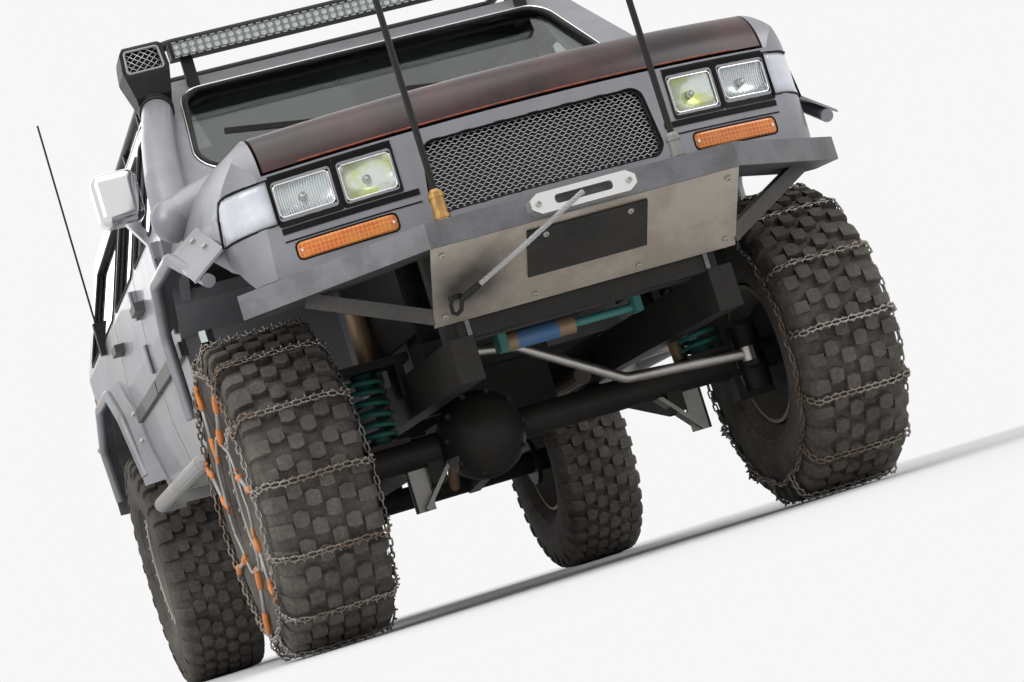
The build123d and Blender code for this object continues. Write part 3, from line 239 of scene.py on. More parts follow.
def finish(name, colour, rough, metal=0.0, dirt_amount=0.3, dirt_colour=pale_dust, vary=None, vary_scale=3.0,
           vary_low=0.45, vary_high=0.62, bump=0.0, bump_scale=140.0, coat=0.0, shine=0.5):
    """A finish with a second colour in patches, fine bumps and road dirt over both."""
    made, tree, shader, _ = new_material(name, Metallic=metal, Coat_Weight=coat, Specular_IOR_Level=shine)
    where = tree.nodes.new("ShaderNodeTexCoord").outputs["Object"]
    coating = tree.nodes.new("ShaderNodeGroup")
    coating.node_tree = dirt
    shader.name, coating.name = "shader", "coating"
    for label, value in (("Colour", colour + (1,)), ("Roughness", rough), ("Amount", dirt_amount),
                         ("Dirt Colour", dirt_colour)):
        coating.inputs[label].default_value = value
    if vary:
        patches = spread(tree, noise(tree, where, vary_scale, 8.0, 0.65), vary_low, vary_high)
        tree.links.new(mix_colour(tree, patches, colour + (1,), vary + (1,)), coating.inputs["Colour"])
    wired(tree, (coating.outputs["Colour"], shader.inputs["Base Color"]),
          (coating.outputs["Roughness"], shader.inputs["Roughness"]))
    if bump:
        relief = tree.nodes.new("ShaderNodeBump")
        relief.inputs["Strength"].default_value = bump
        relief.inputs["Distance"].default_value = 0.002
        wired(tree, (noise(tree, where, bump_scale, 5.0, 0.7), relief.inputs["Height"]),
              (relief.outputs[0], shader.inputs["Normal"]))
    return made


def dress(material, *names):
    """Gives CAD nodes their finish."""
    for name in names:
        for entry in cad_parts[name].material_slots:
            entry.material = material


def zone(material, low, high, colour, rough, metal=0.0, both=True):
    """Another finish under the dirt, inside a box of places and, for both, its mirror image."""
    tree = material.node_tree
    where = tree.nodes.new("ShaderNodeSeparateXYZ")
    tree.links.new(tree.nodes.new("ShaderNodeTexCoord").outputs["Object"], where.inputs[0])
    inside = 1.0
    for axis in range(3):
        value = where.outputs[axis]
        if axis == 0 and both:
            value = math_node(tree, "ABSOLUTE", value)
        off = math_node(tree, "ABSOLUTE", math_node(tree, "SUBTRACT", value, (low[axis] + high[axis]) / 2))
        within = math_node(tree, "LESS_THAN", off, (high[axis] - low[axis]) / 2)
        inside = within if axis == 0 else math_node(tree, "MULTIPLY", inside, within)
    lay_over(tree, inside, colour, rough, metal)


def lay_over(tree, share, colour, rough, metal):
    """Mixes a finish over what a material has already, by a mask."""
    shader, coating = tree.nodes["shader"], tree.nodes["coating"]
    for holder, name, value in ((coating, "Colour", colour + (1,)), (coating, "Roughness", rough),
                                (shader, "Metallic", metal)):
        entry = holder.inputs[name]
        before = entry.links[0].from_socket if entry.links else None
        if name == "Colour":
            plain = tuple(entry.default_value)
            tree.links.new(mix_colour(tree, share, before or plain, value), entry)
            continue
        step = tree.nodes.new("ShaderNodeMix")
        step.inputs[2].default_value = entry.default_value
        step.inputs[3].default_value = value
        tree.links.new(share, step.inputs[0])
        if before:
            tree.links.new(before, step.inputs[2])
        tree.links.new(step.outputs[0], entry)


def smoked(material, middle, reach, colour):
    """A dark patch under the dirt, thickest at its middle and ragged at its edge."""
    tree = material.node_tree
    where = tree.nodes.new("ShaderNodeTexCoord").outputs["Object"]
    off = tree.nodes.new("ShaderNodeVectorMath")
    off.operation = "DISTANCE"
    off.inputs[1].default_value = middle
    tree.links.new(where, off.inputs[0])
    ragged = math_node(tree, "MULTIPLY", math_node(tree, "SUBTRACT", noise(tree, where, 9.0), 0.5), 0.12)
    share = spread(tree, math_node(tree, "ADD", off.outputs["Value"], ragged), reach, reach * 0.25)
    lay_over(tree, math_node(tree, "MULTIPLY", share, 0.93), colour, 0.55, 0.3)


cabin_middle = (0, 0.6, 1.35)


def lined(material, colour, rough):
    """Another finish on the faces that look into the cabin."""
    tree = material.node_tree
    where = tree.nodes.new("ShaderNodeTexCoord")
    reach = tree.nodes.new("ShaderNodeVectorMath")
    reach.operation = "SUBTRACT"
    reach.inputs[1].default_value = cabin_middle
    toward = tree.nodes.new("ShaderNodeVectorMath")
    toward.operation = "DOT_PRODUCT"
    wired(tree, (where.outputs["Object"], reach.inputs[0]), (where.outputs["Normal"], toward.inputs[0]),
          (reach.outputs[0], toward.inputs[1]))
    inward = math_node(tree, "LESS_THAN", toward.outputs["Value"], 0.0)
    lay_over(tree, inward, colour, rough, 0.0)


def another(material, name):
    """A copy of a material under a name of its own."""
    made = material.copy()
    made.name = name
    return made


silver_paint = finish("silver_paint", (0.27, 0.275, 0.30), 0.34, 0.35, 0.26, (0.30, 0.27, 0.235, 1),
                      (0.22, 0.22, 0.245), 4.0, coat=0.2)
dress(silver_paint, "front_wings", "nose_panel", "arch_flares", "snorkel")
shell_paint = another(silver_paint, "shell_paint")
lined(shell_paint, (0.055, 0.053, 0.050), 0.85)
dress(shell_paint, "body_shell", "hatch", "tailgate")
door_paint = another(shell_paint, "door_paint")
# the rub strip along both doors, then each door's handle: y and z of its ends
for near, far, low_edge, high_edge in ((-3, 4, 0.985, 1.039), (-0.307, -0.153, 1.250, 1.290),
                                       (0.608, 0.762, 1.250, 1.290)):
    zone(door_paint, (0.9030, near, low_edge), (0.99, far, high_edge), (0.02, 0.02, 0.02), 0.55)
dress(door_paint, "door_front_left", "door_front_right", "door_rear_left", "door_rear_right")
brown_black = finish("bonnet_paint", (0.016, 0.010, 0.011), 0.30, 0.0, 0.10, (0.22, 0.17, 0.15, 1),
                     (0.058, 0.022, 0.022), 2.6, 0.42, 0.60, shine=0.35)
dress(brown_black, "bonnet")
black_paint = finish("black_paint", (0.010, 0.010, 0.010), 0.45, 0.0, 0.16, (0.10, 0.085, 0.07, 1),
                     bump=0.15, shine=0.22)
axle_paint = another(black_paint, "axle_paint")
zone(axle_paint, (0.325, -3, 0.28), (0.462, -1, 0.425), (0.34, 0.33, 0.31), 0.5, 0.8)
dress(axle_paint, "front_axle")
dress(black_paint, "aerials", "light_bar", "chassis_frame", "rear_axle", "inner_arches", "knuckle_left",
      "knuckle_right", "roof_rack")
mill_scale = finish("mill_scale", (0.155, 0.16, 0.175), 0.42, 0.75, 0.16, (0.34, 0.30, 0.26, 1),
                    (0.11, 0.11, 0.12), 9.0, bump=0.12)
zone(mill_scale, (0.395, -2.30, 0.60), (0.80, -2.00, 0.9085), (0.012, 0.012, 0.012), 0.5)
dress(mill_scale, "front_bumper", "rear_bumper")
brushed = finish("brushed_plate", (0.47, 0.42, 0.36), 0.34, 0.85, 0.14, (0.30, 0.25, 0.20, 1),
                 (0.38, 0.33, 0.275), 5.0, bump=0.06)
smoked(brushed, (-0.325, -2.33, 0.800), 0.17, (0.035, 0.030, 0.026))
dress(brushed, "bumper_plate")
link_steel = finish("link_steel", (0.48, 0.46, 0.43), 0.32, 0.95, 0.14, (0.30, 0.25, 0.20, 1),
                    (0.36, 0.34, 0.31), 12.0)
dress(link_steel, "drag_link", "tie_rod")
machined = finish("machined_alloy", (0.72, 0.72, 0.72), 0.32, 0.9, 0.10)
dress(machined, "fairlead")
black_plastic = finish("black_plastic", (0.012, 0.012, 0.013), 0.5, 0.0, 0.08, bump=0.2,
                       bump_scale=400.0, shine=0.2)
dress(black_plastic, "number_plate", "snorkel_head")
cast = finish("cast_metal", (0.05, 0.05, 0.05), 0.6, 0.5, 0.3, (0.12, 0.10, 0.08, 1), bump=0.4)
dress(cast, "powertrain", "winch")
spring_teal = finish("spring_teal", (0.015, 0.15, 0.125), 0.4, 0.0, 0.2, (0.10, 0.085, 0.07, 1), shine=0.3)
dress(spring_teal, "coil_springs")
bronze = finish("damper_bronze", (0.32, 0.20, 0.11), 0.4, 0.3, 0.18)
zone(bronze, (-0.115, -1.85, 0.64), (0.010, -1.74, 0.72), (0.02, 0.15, 0.36), 0.3, both=False)
zone(bronze, (0.0595, -1.85, 0.64), (0.30, -1.74, 0.72), (0.02, 0.26, 0.23), 0.4, both=False)
zone(bronze, (-0.20, -1.85, 0.64), (-0.148, -1.74, 0.72), (0.02, 0.20, 0.18), 0.4, both=False)
dress(bronze, "shock_absorbers")
slider_grey = finish("slider_grey", (0.36, 0.36, 0.37), 0.45, 0.4, 0.4)
dress(slider_grey, "rock_sliders")
exhaust_steel = finish("exhaust_steel", (0.30, 0.26, 0.23), 0.5, 0.8, 0.4, vary=(0.20, 0.12, 0.08))
dress(exhaust_steel, "exhaust")
chain_steel = finish("chain_steel", (0.34, 0.325, 0.31), 0.40, 0.85, 0.26, vary=(0.15, 0.10, 0.07))
dress(chain_steel, "chain_left", "chain_right")
rim_steel = finish("rim_steel", (0.26, 0.26, 0.26), 0.5, 0.5, 0.55)
dress(rim_steel, "rim_front_left", "rim_front_right", "rim_rear_left", "rim_rear_right")
rubber = finish("tyre_rubber", (0.018, 0.017, 0.017), 0.72, 0.0, 0.56, (0.195, 0.172, 0.150, 1),
                bump=0.4, bump_scale=220.0, shine=0.25)
dress(rubber, "tyre_front_left", "tyre_front_right", "tyre_rear_left", "tyre_rear_right")
chrome = finish("chrome", (0.75, 0.75, 0.76), 0.12, 1.0, 0.06)
dress(chrome, "mirror_left", "mirror_right")
amber = finish("amber_lens", (0.78, 0.13, 0.008), 0.2, 0.0, 0.10, vary=(0.86, 0.26, 0.02),
               vary_scale=26.0, bump=0.3, bump_scale=60.0, coat=0.5)
tree = amber.node_tree
grid = tree.nodes.new("ShaderNodeTexBrick")
grid.offset = 0.0
for label, value in (("Scale", 1.0), ("Mortar Size", 0.0011), ("Mortar Smooth", 0.6),
                     ("Brick Width", 0.0115), ("Row Height", 0.0115)):
    grid.inputs[label].default_value = value
turn_grid = tree.nodes.new("ShaderNodeMapping")
turn_grid.inputs["Rotation"].default_value = (math.pi / 2, 0, 0)
wired(tree, (tree.nodes.new("ShaderNodeTexCoord").outputs["Object"], turn_grid.inputs[0]),
      (turn_grid.outputs[0], grid.inputs["Vector"]))
lay_over(tree, grid.outputs["Fac"], (0.95, 0.42, 0.06), 0.15, 0.0)
dress(amber, "indicators")
red_lens = finish("red_lens", (0.42, 0.012, 0.012), 0.2, 0.0, 0.12, coat=0.5)
zone(red_lens, (0.5, 2, 1.235), (1.0, 3, 1.31), (0.72, 0.22, 0.02), 0.2)
zone(red_lens, (0.5, 2, 1.05), (1.0, 3, 1.115), (0.60, 0.60, 0.60), 0.2)
dress(red_lens, "tail_lamps")
rope_grey = finish("rope_grey", (0.42, 0.42, 0.42), 0.7, 0.0, 0.2)
dress(rope_grey, "winch_rope")
trim_plastic = finish("trim_plastic", (0.14, 0.13, 0.12), 0.6, 0.0, 0.06, bump=0.2, bump_scale=300.0)
dress(trim_plastic, "cabin_fittings")
cloth = finish("seat_cloth", (0.16, 0.16, 0.17), 0.85, 0.0, 0.05, bump=0.4, bump_scale=500.0)
dress(cloth, "seats")
mesh_steel = finish("mesh_steel", (0.50, 0.50, 0.51), 0.35, 0.9, 0.15)
dress(mesh_steel, "grille_mesh")


def glazing(name, tint, rough=0.02):
    """Clear glass, tinted all through."""
    return new_material(name, Base_Color=tint + (1,), Roughness=rough, Transmission_Weight=1.0, IOR=1.45)[0]


window_glass = glazing("window_glass", (0.62, 0.68, 0.66))
dress(window_glass, "fixed_glass", "glass_front_left", "glass_front_right", "glass_rear_left",
      "glass_rear_right", "hatch_glass")
lamp_glass = glazing("lamp_glass", (0.92, 0.93, 0.92), 0.06)
dress(lamp_glass, "headlamps")

# Tyres: 37 inch mud tyres of black rubber, grey with dust. The carcass is turned about the
# axle; three staggered rows of blocks stand on each half, the outer ones biting down the wall.
tread_pitches = 36
front_hub = [(a + b) / 2 for a, b in zip(*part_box("tyre_front_left"))]
rear_hub = [(a + b) / 2 for a, b in zip(*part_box("tyre_rear_left"))]


def placed(name, data):
    """An object of a mesh or a curve, put in the scene at the origin."""
    made = bpy.data.objects.new(name, data)
    bpy.context.collection.objects.link(made)
    return made


def shape(name, points, faces, *finishes, smooth=False, slots=None):
    """A mesh object at the origin; slots lists each face's finish when there are several."""
    mesh = bpy.data.meshes.new(name)
    mesh.from_pydata(points, [], faces)
    for look in finishes:
        mesh.materials.append(look)
    if slots:
        mesh.polygons.foreach_set("material_index", slots)
    mesh.shade_smooth() if smooth else mesh.shade_flat()
    mesh.update()
    return placed(name, mesh)


def outward(piece, merge=0.00005):
    """Merges doubles and points every face out."""
    work = bmesh.new()
    work.from_mesh(piece.data)
    bmesh.ops.remove_doubles(work, verts=work.verts, dist=merge)
    bmesh.ops.recalc_face_normals(work, faces=work.faces)
    work.to_mesh(piece.data)
    work.free()
    piece.data.update()


def weave(faces, start, rows, across, closed):
    """Adds the faces between rings of points; a closed piece joins its last ring to the first."""
    for row in range(rows if closed else rows - 1):
        near, far = start + row * across, start + (row + 1) % rows * across
        for corner in range(across):
            following = (corner + 1) % across
            faces.append((near + corner, near + following, far + following, far + corner))


def sheet(faces, start, rows, across):
    """Adds the faces of an open grid of points."""
    for row in range(rows):
        for column in range(across):
            a = start + row * (across + 1) + column
            faces.append((a, a + 1, a + across + 2, a + across + 1))


def round_axle(centre, x, radius, angle):
    """A place so far along and away from an axle's line, at an angle from straight up."""
    return (centre[0] + x, centre[1] + radius * math.sin(angle), centre[2] + radius * math.cos(angle))


def turned(points, faces, profile, centre, steps, side=1):
    """Adds a closed ring: a profile of (x, radius) turned about the axle's line."""
    start, count = len(points), len(profile)
    for step in range(steps):
        angle = math.tau * step / steps
        points += [round_axle(centre, side * x, radius, angle) for x, radius in profile]
    weave(faces, start, steps, count, True)


def lump(points, faces, centre, side, stations):
    """Adds a block whose stations give x, its radius outside and inside, and its two angles."""
    start = len(points)
    for x, outer, inner, first, last in stations:
        ease = 0.0030 / outer
        for radius, angle in ((inner, first), (outer, first + ease), (outer, last - ease), (inner, last)):
            points.append(round_axle(centre, side * x, radius, angle))
    for number in range(len(stations) - 1):
        a = start + 4 * number
        for edge in range(3):
            faces.append((a + edge, a + edge + 1, a + edge + 5, a + edge + 4))
        faces.append((a + 3, a, a + 4, a + 7))
    last = start + 4 * (len(stations) - 1)
    faces.append((start, start + 3, start + 2, start + 1))
    faces.append((last, last + 1, last + 2, last + 3))


carcass = [
    (0.112, 0.222), (0.120, 0.236), (0.136, 0.250), (0.150, 0.276), (0.158, 0.310), (0.159, 0.345),
    (0.157, 0.380), (0.152, 0.410), (0.144, 0.430), (0.128, 0.441), (0.090, 0.444), (0.045, 0.445)]
carcass = carcass + [(0, 0.445)] + [(-x, r) for x, r in reversed(carcass)]
# each block's stations: x, outer radius, inner radius, first and last share of the pitch
tread_blocks = (
    ((0.098, 0.4625, 0.435, 0.10, 0.62), (0.138, 0.4590, 0.430, 0.06, 0.66),
     (0.1515, 0.4460, 0.42, 0.08, 0.64),
     (0.1575, 0.4200, 0.405, 0.12, 0.60), (0.1590, 0.3960, 0.39, 0.18, 0.54)),
    ((0.050, 0.4645, 0.435, 0.44, 0.88), (0.070, 0.4645, 0.435, 0.34, 0.98),
     (0.091, 0.4635, 0.435, 0.40, 0.90)),
    ((0.004, 0.4650, 0.435, 0.02, 0.50), (0.024, 0.4650, 0.435, -0.06, 0.60),
     (0.044, 0.4648, 0.435, 0.02, 0.52)),
)
short_shoulder = (
    (0.098, 0.4625, 0.435, 0.14, 0.60), (0.138, 0.4590, 0.430, 0.12, 0.62),
    (0.1500, 0.4480, 0.42, 0.14, 0.60), (0.1550, 0.4330, 0.41, 0.18, 0.56))
wheels = []
both_ways = (("left", 1), ("right", -1))
for axle, hub in (("front", front_hub), ("rear", rear_hub)):
    for side_name, side in both_ways:
        centre = (side * abs(hub[0]), hub[1], hub[2])
        wheels.append((axle, side_name, side, centre))
        points, faces = [], []
        turned(points, faces, carcass + [(-0.09, 0.224), (0.09, 0.224)], centre, 96)
        smooth_faces = len(faces)
        pitch = math.tau / tread_pitches
        for half, shift in ((1, 0.0), (-1, 0.5)):
            for number in range(tread_pitches):
                for row, block in enumerate(tread_blocks):
                    if row == 0 and number % 2:
                        block = short_shoulder
                    stations = [(half * x, outer, inner, (number + shift + first) * pitch,
                                 (number + shift + last) * pitch)
                                for x, outer, inner, first, last in block]
                    lump(points, faces, centre, side, stations)
        # ribs on the walls
        for half in (1, -1):
            for low, high in ((0.262, 0.268), (0.352, 0.357)):
                wall = 0.1455 if low < 0.3 else 0.1590
                turned(points, faces, [(half * (wall - 0.004), low), (half * wall, low), (half * wall, high),
                                       (half * (wall - 0.004), high)], centre, 72)
        tyre = shape(f"mud_tyre_{axle}_{side_name}", points, faces, rubber)
        outward(tyre, 0.00001)
        for face in tyre.data.polygons[:smooth_faces]:
            face.use_smooth = True
        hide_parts(f"tyre_{axle}_{side_name}")
        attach(tyre, f"wheel_{axle}_{side_name}")

# Snow chains on the front tyres: links of hardened steel bent through each other, a ring on
# each wall, and spiked cross chains over the tread. Orange hooks and rods pull them tight.
chain_pitch, cross_pitch = 0.0235, 0.0245
link_length, link_width, link_wire, link_corners = 0.032, 0.0185, 0.0029, 10
crossings, tension_rods = 14, 7


def pipe_mesh(points, faces, route, radius, sides=6, closed=False, frame_up=(0.13, 0.27, 0.95)):
    """Adds a round bar that follows a list of places."""
    start, count = len(points), len(route)
    places = [Vector(p) for p in route]
    guide = Vector(frame_up)
    for number, spot in enumerate(places):
        before = places[number - 1] if closed or number else spot
        after = places[(number + 1) % count] if closed or number < count - 1 else spot
        along = (after - before).normalized()
        first = along.cross(guide).normalized()
        second = along.cross(first)
        size = radius[number] if isinstance(radius, (list, tuple)) else radius
        for corner in range(sides):
            angle = math.tau * corner / sides
            points.append(tuple(spot + first * size * math.cos(angle) + second * size * math.sin(angle)))
    weave(faces, start, count, sides, closed)
    if not closed:
        faces.append(tuple(start + corner for corner in range(sides))[::-1])
        faces.append(tuple(start + (count - 1) * sides + corner for corner in range(sides)))


def link_shape(name, spiked):
    """One oval link lying along Z, with two spikes standing out on X when it is spiked."""
    points, faces = [], []
    straight = (link_length - link_width) / 2
    bend = link_width / 2 - link_wire
    route = []
    for step in range(link_corners):
        angle = math.tau * step / link_corners
        lift = straight if math.cos(angle) >= 0 else -straight
        route.append((0, bend * math.sin(angle), bend * math.cos(angle) + lift))
    pipe_mesh(points, faces, route, link_wire, 5, closed=True, frame_up=(1, 0, 0))
    if spiked:
        for y in (-0.0085, 0.0085):
            start = len(points)
            for a, b in ((-1, -1), (1, -1), (1, 1), (-1, 1)):
                points.append((-0.002, y + 0.0036 * a, 0.0036 * b))
            for a, b in ((-1, -1), (1, -1), (1, 1), (-1, 1)):
                points.append((0.0098, y + 0.0016 * a, 0.0016 * b))
            faces += [(start, start + 3, start + 2, start + 1), (start + 4, start + 5, start + 6, start + 7)]
            weave(faces, start, 2, 4, False)
    return shape(name, points, faces, smooth=True)


def node_tree(name, *sockets):
    """A geometry tree with a geometry in and out and the named inputs."""
    tree = bpy.data.node_groups.new(name, "GeometryNodeTree")
    tree.interface.new_socket(name="Geometry", in_out="INPUT", socket_type="NodeSocketGeometry")
    for label, kind in sockets:
        tree.interface.new_socket(name=label, in_out="INPUT", socket_type="NodeSocket" + kind)
    tree.interface.new_socket(name="Geometry", in_out="OUTPUT", socket_type="NodeSocketGeometry")
    return tree, tree.nodes.new("NodeGroupInput"), tree.nodes.new("NodeGroupOutput")


def grown(carrier, tree, name, **values):
    """Runs a geometry tree on a carrier object and returns the result as a plain mesh object."""
    modifier = carrier.modifiers.new("grow", "NODES")
    modifier.node_group = tree
    for item in tree.interface.items_tree:
        if item.in_out == "INPUT" and item.name in values:
            modifier[item.identifier] = values[item.name]
    carrier.update_tag()
    view = bpy.context.evaluated_depsgraph_get()
    mesh = bpy.data.meshes.new_from_object(carrier.evaluated_get(view), depsgraph=view)
    carrier.modifiers.remove(modifier)
    mesh.name = name
    bpy.data.objects.remove(carrier)
    return placed(name, mesh)


along_route, entry, leave = node_tree("links_along_route", ("Element", "Object"), ("Pitch", "Float"),
                                      ("Turn", "Float"), ("Finish", "Material"))
dots = along_route.nodes.new("GeometryNodeCurveToPoints")
dots.mode = "LENGTH"
element = along_route.nodes.new("GeometryNodeObjectInfo")
number = along_route.nodes.new("GeometryNodeInputIndex")
parity = along_route.nodes.new("ShaderNodeMath")
parity.operation = "MODULO"
parity.inputs[1].default_value = 2
quarter = along_route.nodes.new("ShaderNodeMath")
quarter.operation = "MULTIPLY"
twist = along_route.nodes.new("ShaderNodeCombineXYZ")
to_turn = along_route.nodes.new("FunctionNodeEulerToRotation")
turn_link = along_route.nodes.new("FunctionNodeRotateRotation")
turn_link.rotation_space = "LOCAL"
place_links = along_route.nodes.new("GeometryNodeInstanceOnPoints")
solid = along_route.nodes.new("GeometryNodeRealizeInstances")
coat = along_route.nodes.new("GeometryNodeSetMaterial")
wired(
    along_route, (entry.outputs["Geometry"], dots.inputs[0]), (entry.outputs["Pitch"], dots.inputs["Length"]),
    (entry.outputs["Element"], element.inputs["Object"]), (number.outputs[0], parity.inputs[0]),
    (parity.outputs[0], quarter.inputs[0]), (entry.outputs["Turn"], quarter.inputs[1]),
    (quarter.outputs[0], twist.inputs[2]), (twist.outputs[0], to_turn.inputs[0]),
    (dots.outputs["Rotation"], turn_link.inputs[0]), (to_turn.outputs[0], turn_link.inputs[1]),
    (dots.outputs["Points"], place_links.inputs["Points"]),
    (element.outputs["Geometry"], place_links.inputs["Instance"]),
    (turn_link.outputs[0], place_links.inputs["Rotation"]), (place_links.outputs[0], solid.inputs[0]),
    (solid.outputs[0], coat.inputs["Geometry"]), (entry.outputs["Finish"], coat.inputs["Material"]),
    (coat.outputs[0], leave.inputs[0]))


def route_curve(routes):
    """A curve object with one straight-run spline for each route: places and whether it closes."""
    curve = bpy.data.curves.new("route", "CURVE")
    curve.dimensions = "3D"
    for places, closed in routes:
        spline = curve.splines.new("POLY")
        spline.points.add(len(places) - 1)
        for point, spot in zip(spline.points, places):
            point.co = (*spot, 1)
        spline.use_cyclic_u = closed
    return placed("route", curve)


plain_link = link_shape("plain_link", False)
spiked_link = link_shape("spiked_link", True)
orange = finish("hook_orange", (0.85, 0.24, 0.02), 0.4, 0.0, 0.25)
rod_grey = finish("rod_grey", (0.42, 0.42, 0.42), 0.45, 0.5, 0.25)
for axle, side_name, side, centre in wheels:
    if axle == "rear":
        continue

    def spot(x, radius, angle):
        return round_axle(centre, side * x, radius, angle)

    rings = []
    for x in (0.1685, -0.1685):
        turns = [math.tau * n / 84 for n in range(84)]
        rings.append(([spot(x, 0.392 + 0.006 * math.cos(crossings * turn), turn) for turn in turns], True))
    ring_chain = grown(route_curve(rings), along_route, f"ring_chain_{side_name}", Element=plain_link,
                       Pitch=chain_pitch, Turn=math.pi / 2, Finish=chain_steel)
    crosses = []
    for number in range(crossings):
        angle = math.tau * (number + 0.5) / crossings
        run = [(0.168, 0.396), (0.1655, 0.425), (0.156, 0.449), (0.140, 0.4640), (0.10, 0.4680), (0, 0.4692)]
        run = run + [(-x, r) for x, r in reversed(run[:-1])]
        crosses.append(([spot(x, r, angle + 0.012 * math.sin(x * 60)) for x, r in run], False))
    cross_chain = grown(route_curve(crosses), along_route, f"cross_chain_{side_name}",
                        Element=spiked_link, Pitch=cross_pitch, Turn=0.5, Finish=chain_steel)
    points, faces = [], []
    hook_points, hook_faces = [], []
    for number in range(tension_rods):
        angle = math.tau * (number + 0.25) / tension_rods
        lean = angle + 0.42
        inner, outer = Vector(spot(0.166, 0.196, lean)), Vector(spot(0.170, 0.372, angle))
        path = [tuple(inner.lerp(outer, share)) for share in (0.22, 0.5, 0.78)]
        pipe_mesh(points, faces, path, 0.0062, 8)
        for end, far in ((inner, outer), (outer, inner)):
            run = far - end
            across = run.cross(Vector((side, 0, 0))).normalized()
            hook = [end.lerp(far, 0.30), end.lerp(far, 0.2), end.lerp(far, 0.10) + across * 0.010,
                    end + across * 0.012, end - run.normalized() * 0.010, end - across * 0.010]
            pipe_mesh(hook_points, hook_faces, [tuple(p) for p in hook],
                      [0.0085, 0.0105, 0.0095, 0.0075, 0.0060, 0.0050], 6)
    inner_ring = [spot(0.166, 0.196 + 0.010 * math.cos(tension_rods * math.tau * n / 56), math.tau * n / 56)
                  for n in range(56)]
    pipe_mesh(points, faces, inner_ring, 0.0045, 6, closed=True)
    rods = shape(f"tension_rods_{side_name}", points, faces, rod_grey, smooth=True)
    hooks = shape(f"tension_hooks_{side_name}", hook_points, hook_faces, orange, smooth=True)
    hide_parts(f"chain_{side_name}")
    for piece in (ring_chain, cross_chain, rods, hooks):
        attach(piece, f"wheel_front_{side_name}")
for spare in (plain_link, spiked_link):
    bpy.data.objects.remove(spare)


axle_to_middle = 1480
nose_centre, nose_radius, nose_lean, nose_top, nose_tall = 1566, 2311, 12, 1262, 562


def car(x, y, z):
    """A place in the shared frame from the car's own millimetres."""
    return (x / 1000, (y - axle_to_middle) / 1000, z / 1000)


def nose(x, z, set_in=0.0):
    """A place on the bowed nose, or so far behind its face."""
    bow = math.sqrt((nose_radius - set_in) ** 2 - x * x)
    return car(x, nose_centre - bow + nose_lean * (nose_top - z) / nose_tall, z)


def bar(points, faces, first, last, width, depth, facing=(0, -1, 0)):
    """Adds a square bar between two places, its width across the facing direction."""
    first, last, out = Vector(first), Vector(last), Vector(facing)
    along = (last - first).normalized()
    across = along.cross(out).normalized()
    out = across.cross(along)
    start = len(points)
    for end in (first, last):
        for s, o in ((-1, -1), (1, -1), (1, 1), (-1, 1)):
            points.append(tuple(end + across * (s * width / 2) + out * (o * depth / 2)))
    faces += [(start, start + 1, start + 2, start + 3), (start + 4, start + 7, start + 6, start + 5)]
    faces += [(start + n, start + 4 + n, start + 4 + (n + 1) % 4, start + (n + 1) % 4) for n in range(4)]


def rounded(corners, radius, steps=5):
    """A closed outline of (u, v) with its corners rounded."""
    outline = []
    for number, corner in enumerate(corners):
        here = Vector(corner)
        back = (Vector(corners[number - 1]) - here).normalized()
        onward = (Vector(corners[(number + 1) % len(corners)]) - here).normalized()
        reach = radius / math.tan(back.angle(onward) / 2)
        middle = here + (back + onward).normalized() * math.hypot(reach, radius)
        first, last = here + back * reach - middle, here + onward * reach - middle
        for step in range(steps + 1):
            outline.append(tuple(middle + first.lerp(last, step / steps).normalized() * radius))
    return outline


def oblong(u_low, v_low, u_high, v_high, radius, steps=5):
    """A rectangle's outline with its corners rounded."""
    return rounded([(u_low, v_low), (u_high, v_low), (u_high, v_high), (u_low, v_high)], radius, steps)


def finer(outline, parts=3):
    """The outline with each edge divided."""
    result = []
    for (u, v), (far_u, far_v) in zip(outline, outline[1:] + outline[:1]):
        result += [(u + (far_u - u) * part / parts, v + (far_v - v) * part / parts) for part in range(parts)]
    return result


def plate(points, faces, outline, offset):
    """Adds a plate: an outline of places and its copy moved by the offset."""
    start, count = len(points), len(outline)
    points += [tuple(p) for p in outline] + [tuple(Vector(p) + Vector(offset)) for p in outline]
    faces.append(tuple(range(start, start + count)))
    faces.append(tuple(range(start + 2 * count - 1, start + count - 1, -1)))
    for n in range(count):
        m = (n + 1) % count
        faces.append((start + n, start + count + n, start + count + m, start + m))


def frame_ring(points, faces, outer, inner, offset):
    """Adds a flat frame between two outlines of as many places, as thick as the offset."""
    start, count = len(points), len(outer)
    points += [tuple(p) for p in outer] + [tuple(p) for p in inner]
    points += [tuple(Vector(p) + Vector(offset)) for p in list(outer) + list(inner)]
    for n in range(count):
        m = (n + 1) % count
        a, b, c, d = start + n, start + m, start + count + m, start + count + n
        faces += [(a, b, c, d), (a + 2 * count, d + 2 * count, c + 2 * count, b + 2 * count)]
        faces += [(a, a + 2 * count, b + 2 * count, b), (d, c, c + 2 * count, d + 2 * count)]


def hand_over(piece, node, body="body", instead=False):
    """Mends a piece's normals, hides the node it replaces when instead is set, and hangs it on the body that
    carries it.
    """
    outward(piece)
    if instead:
        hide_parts(node)
    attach(piece, body)


foot_half, head_half, grille_low, grille_high, grille_corner = 343, 317, 1027, 1225, 40
cell_width, row_rise = 19.5, 9.0
points, faces = [], []
for row in range(22):
    middle = grille_low + 4.5 + row * row_rise
    edge = min(middle - grille_low, grille_high - middle)
    cut_back = grille_corner - math.sqrt(max(0, grille_corner ** 2 - max(0, grille_corner - edge) ** 2))
    side_slope = (head_half - foot_half) / (grille_high - grille_low)
    reach = foot_half + (middle - grille_low) * side_slope - cut_back - 2
    steps = int(2 * reach / (cell_width / 2))
    places = []
    for step in range(steps + 1):
        x = -steps * cell_width / 4 + step * cell_width / 2
        crest = 1 if round(x / (cell_width / 2) + row + 0.01) % 2 else -1
        places.append(nose(x, middle + 2.9 * crest, 18))
    for first, last in zip(places, places[1:]):
        bar(points, faces, first, last, 0.0018, 0.0026)
mesh = shape("expanded_mesh", points, faces, mesh_steel)
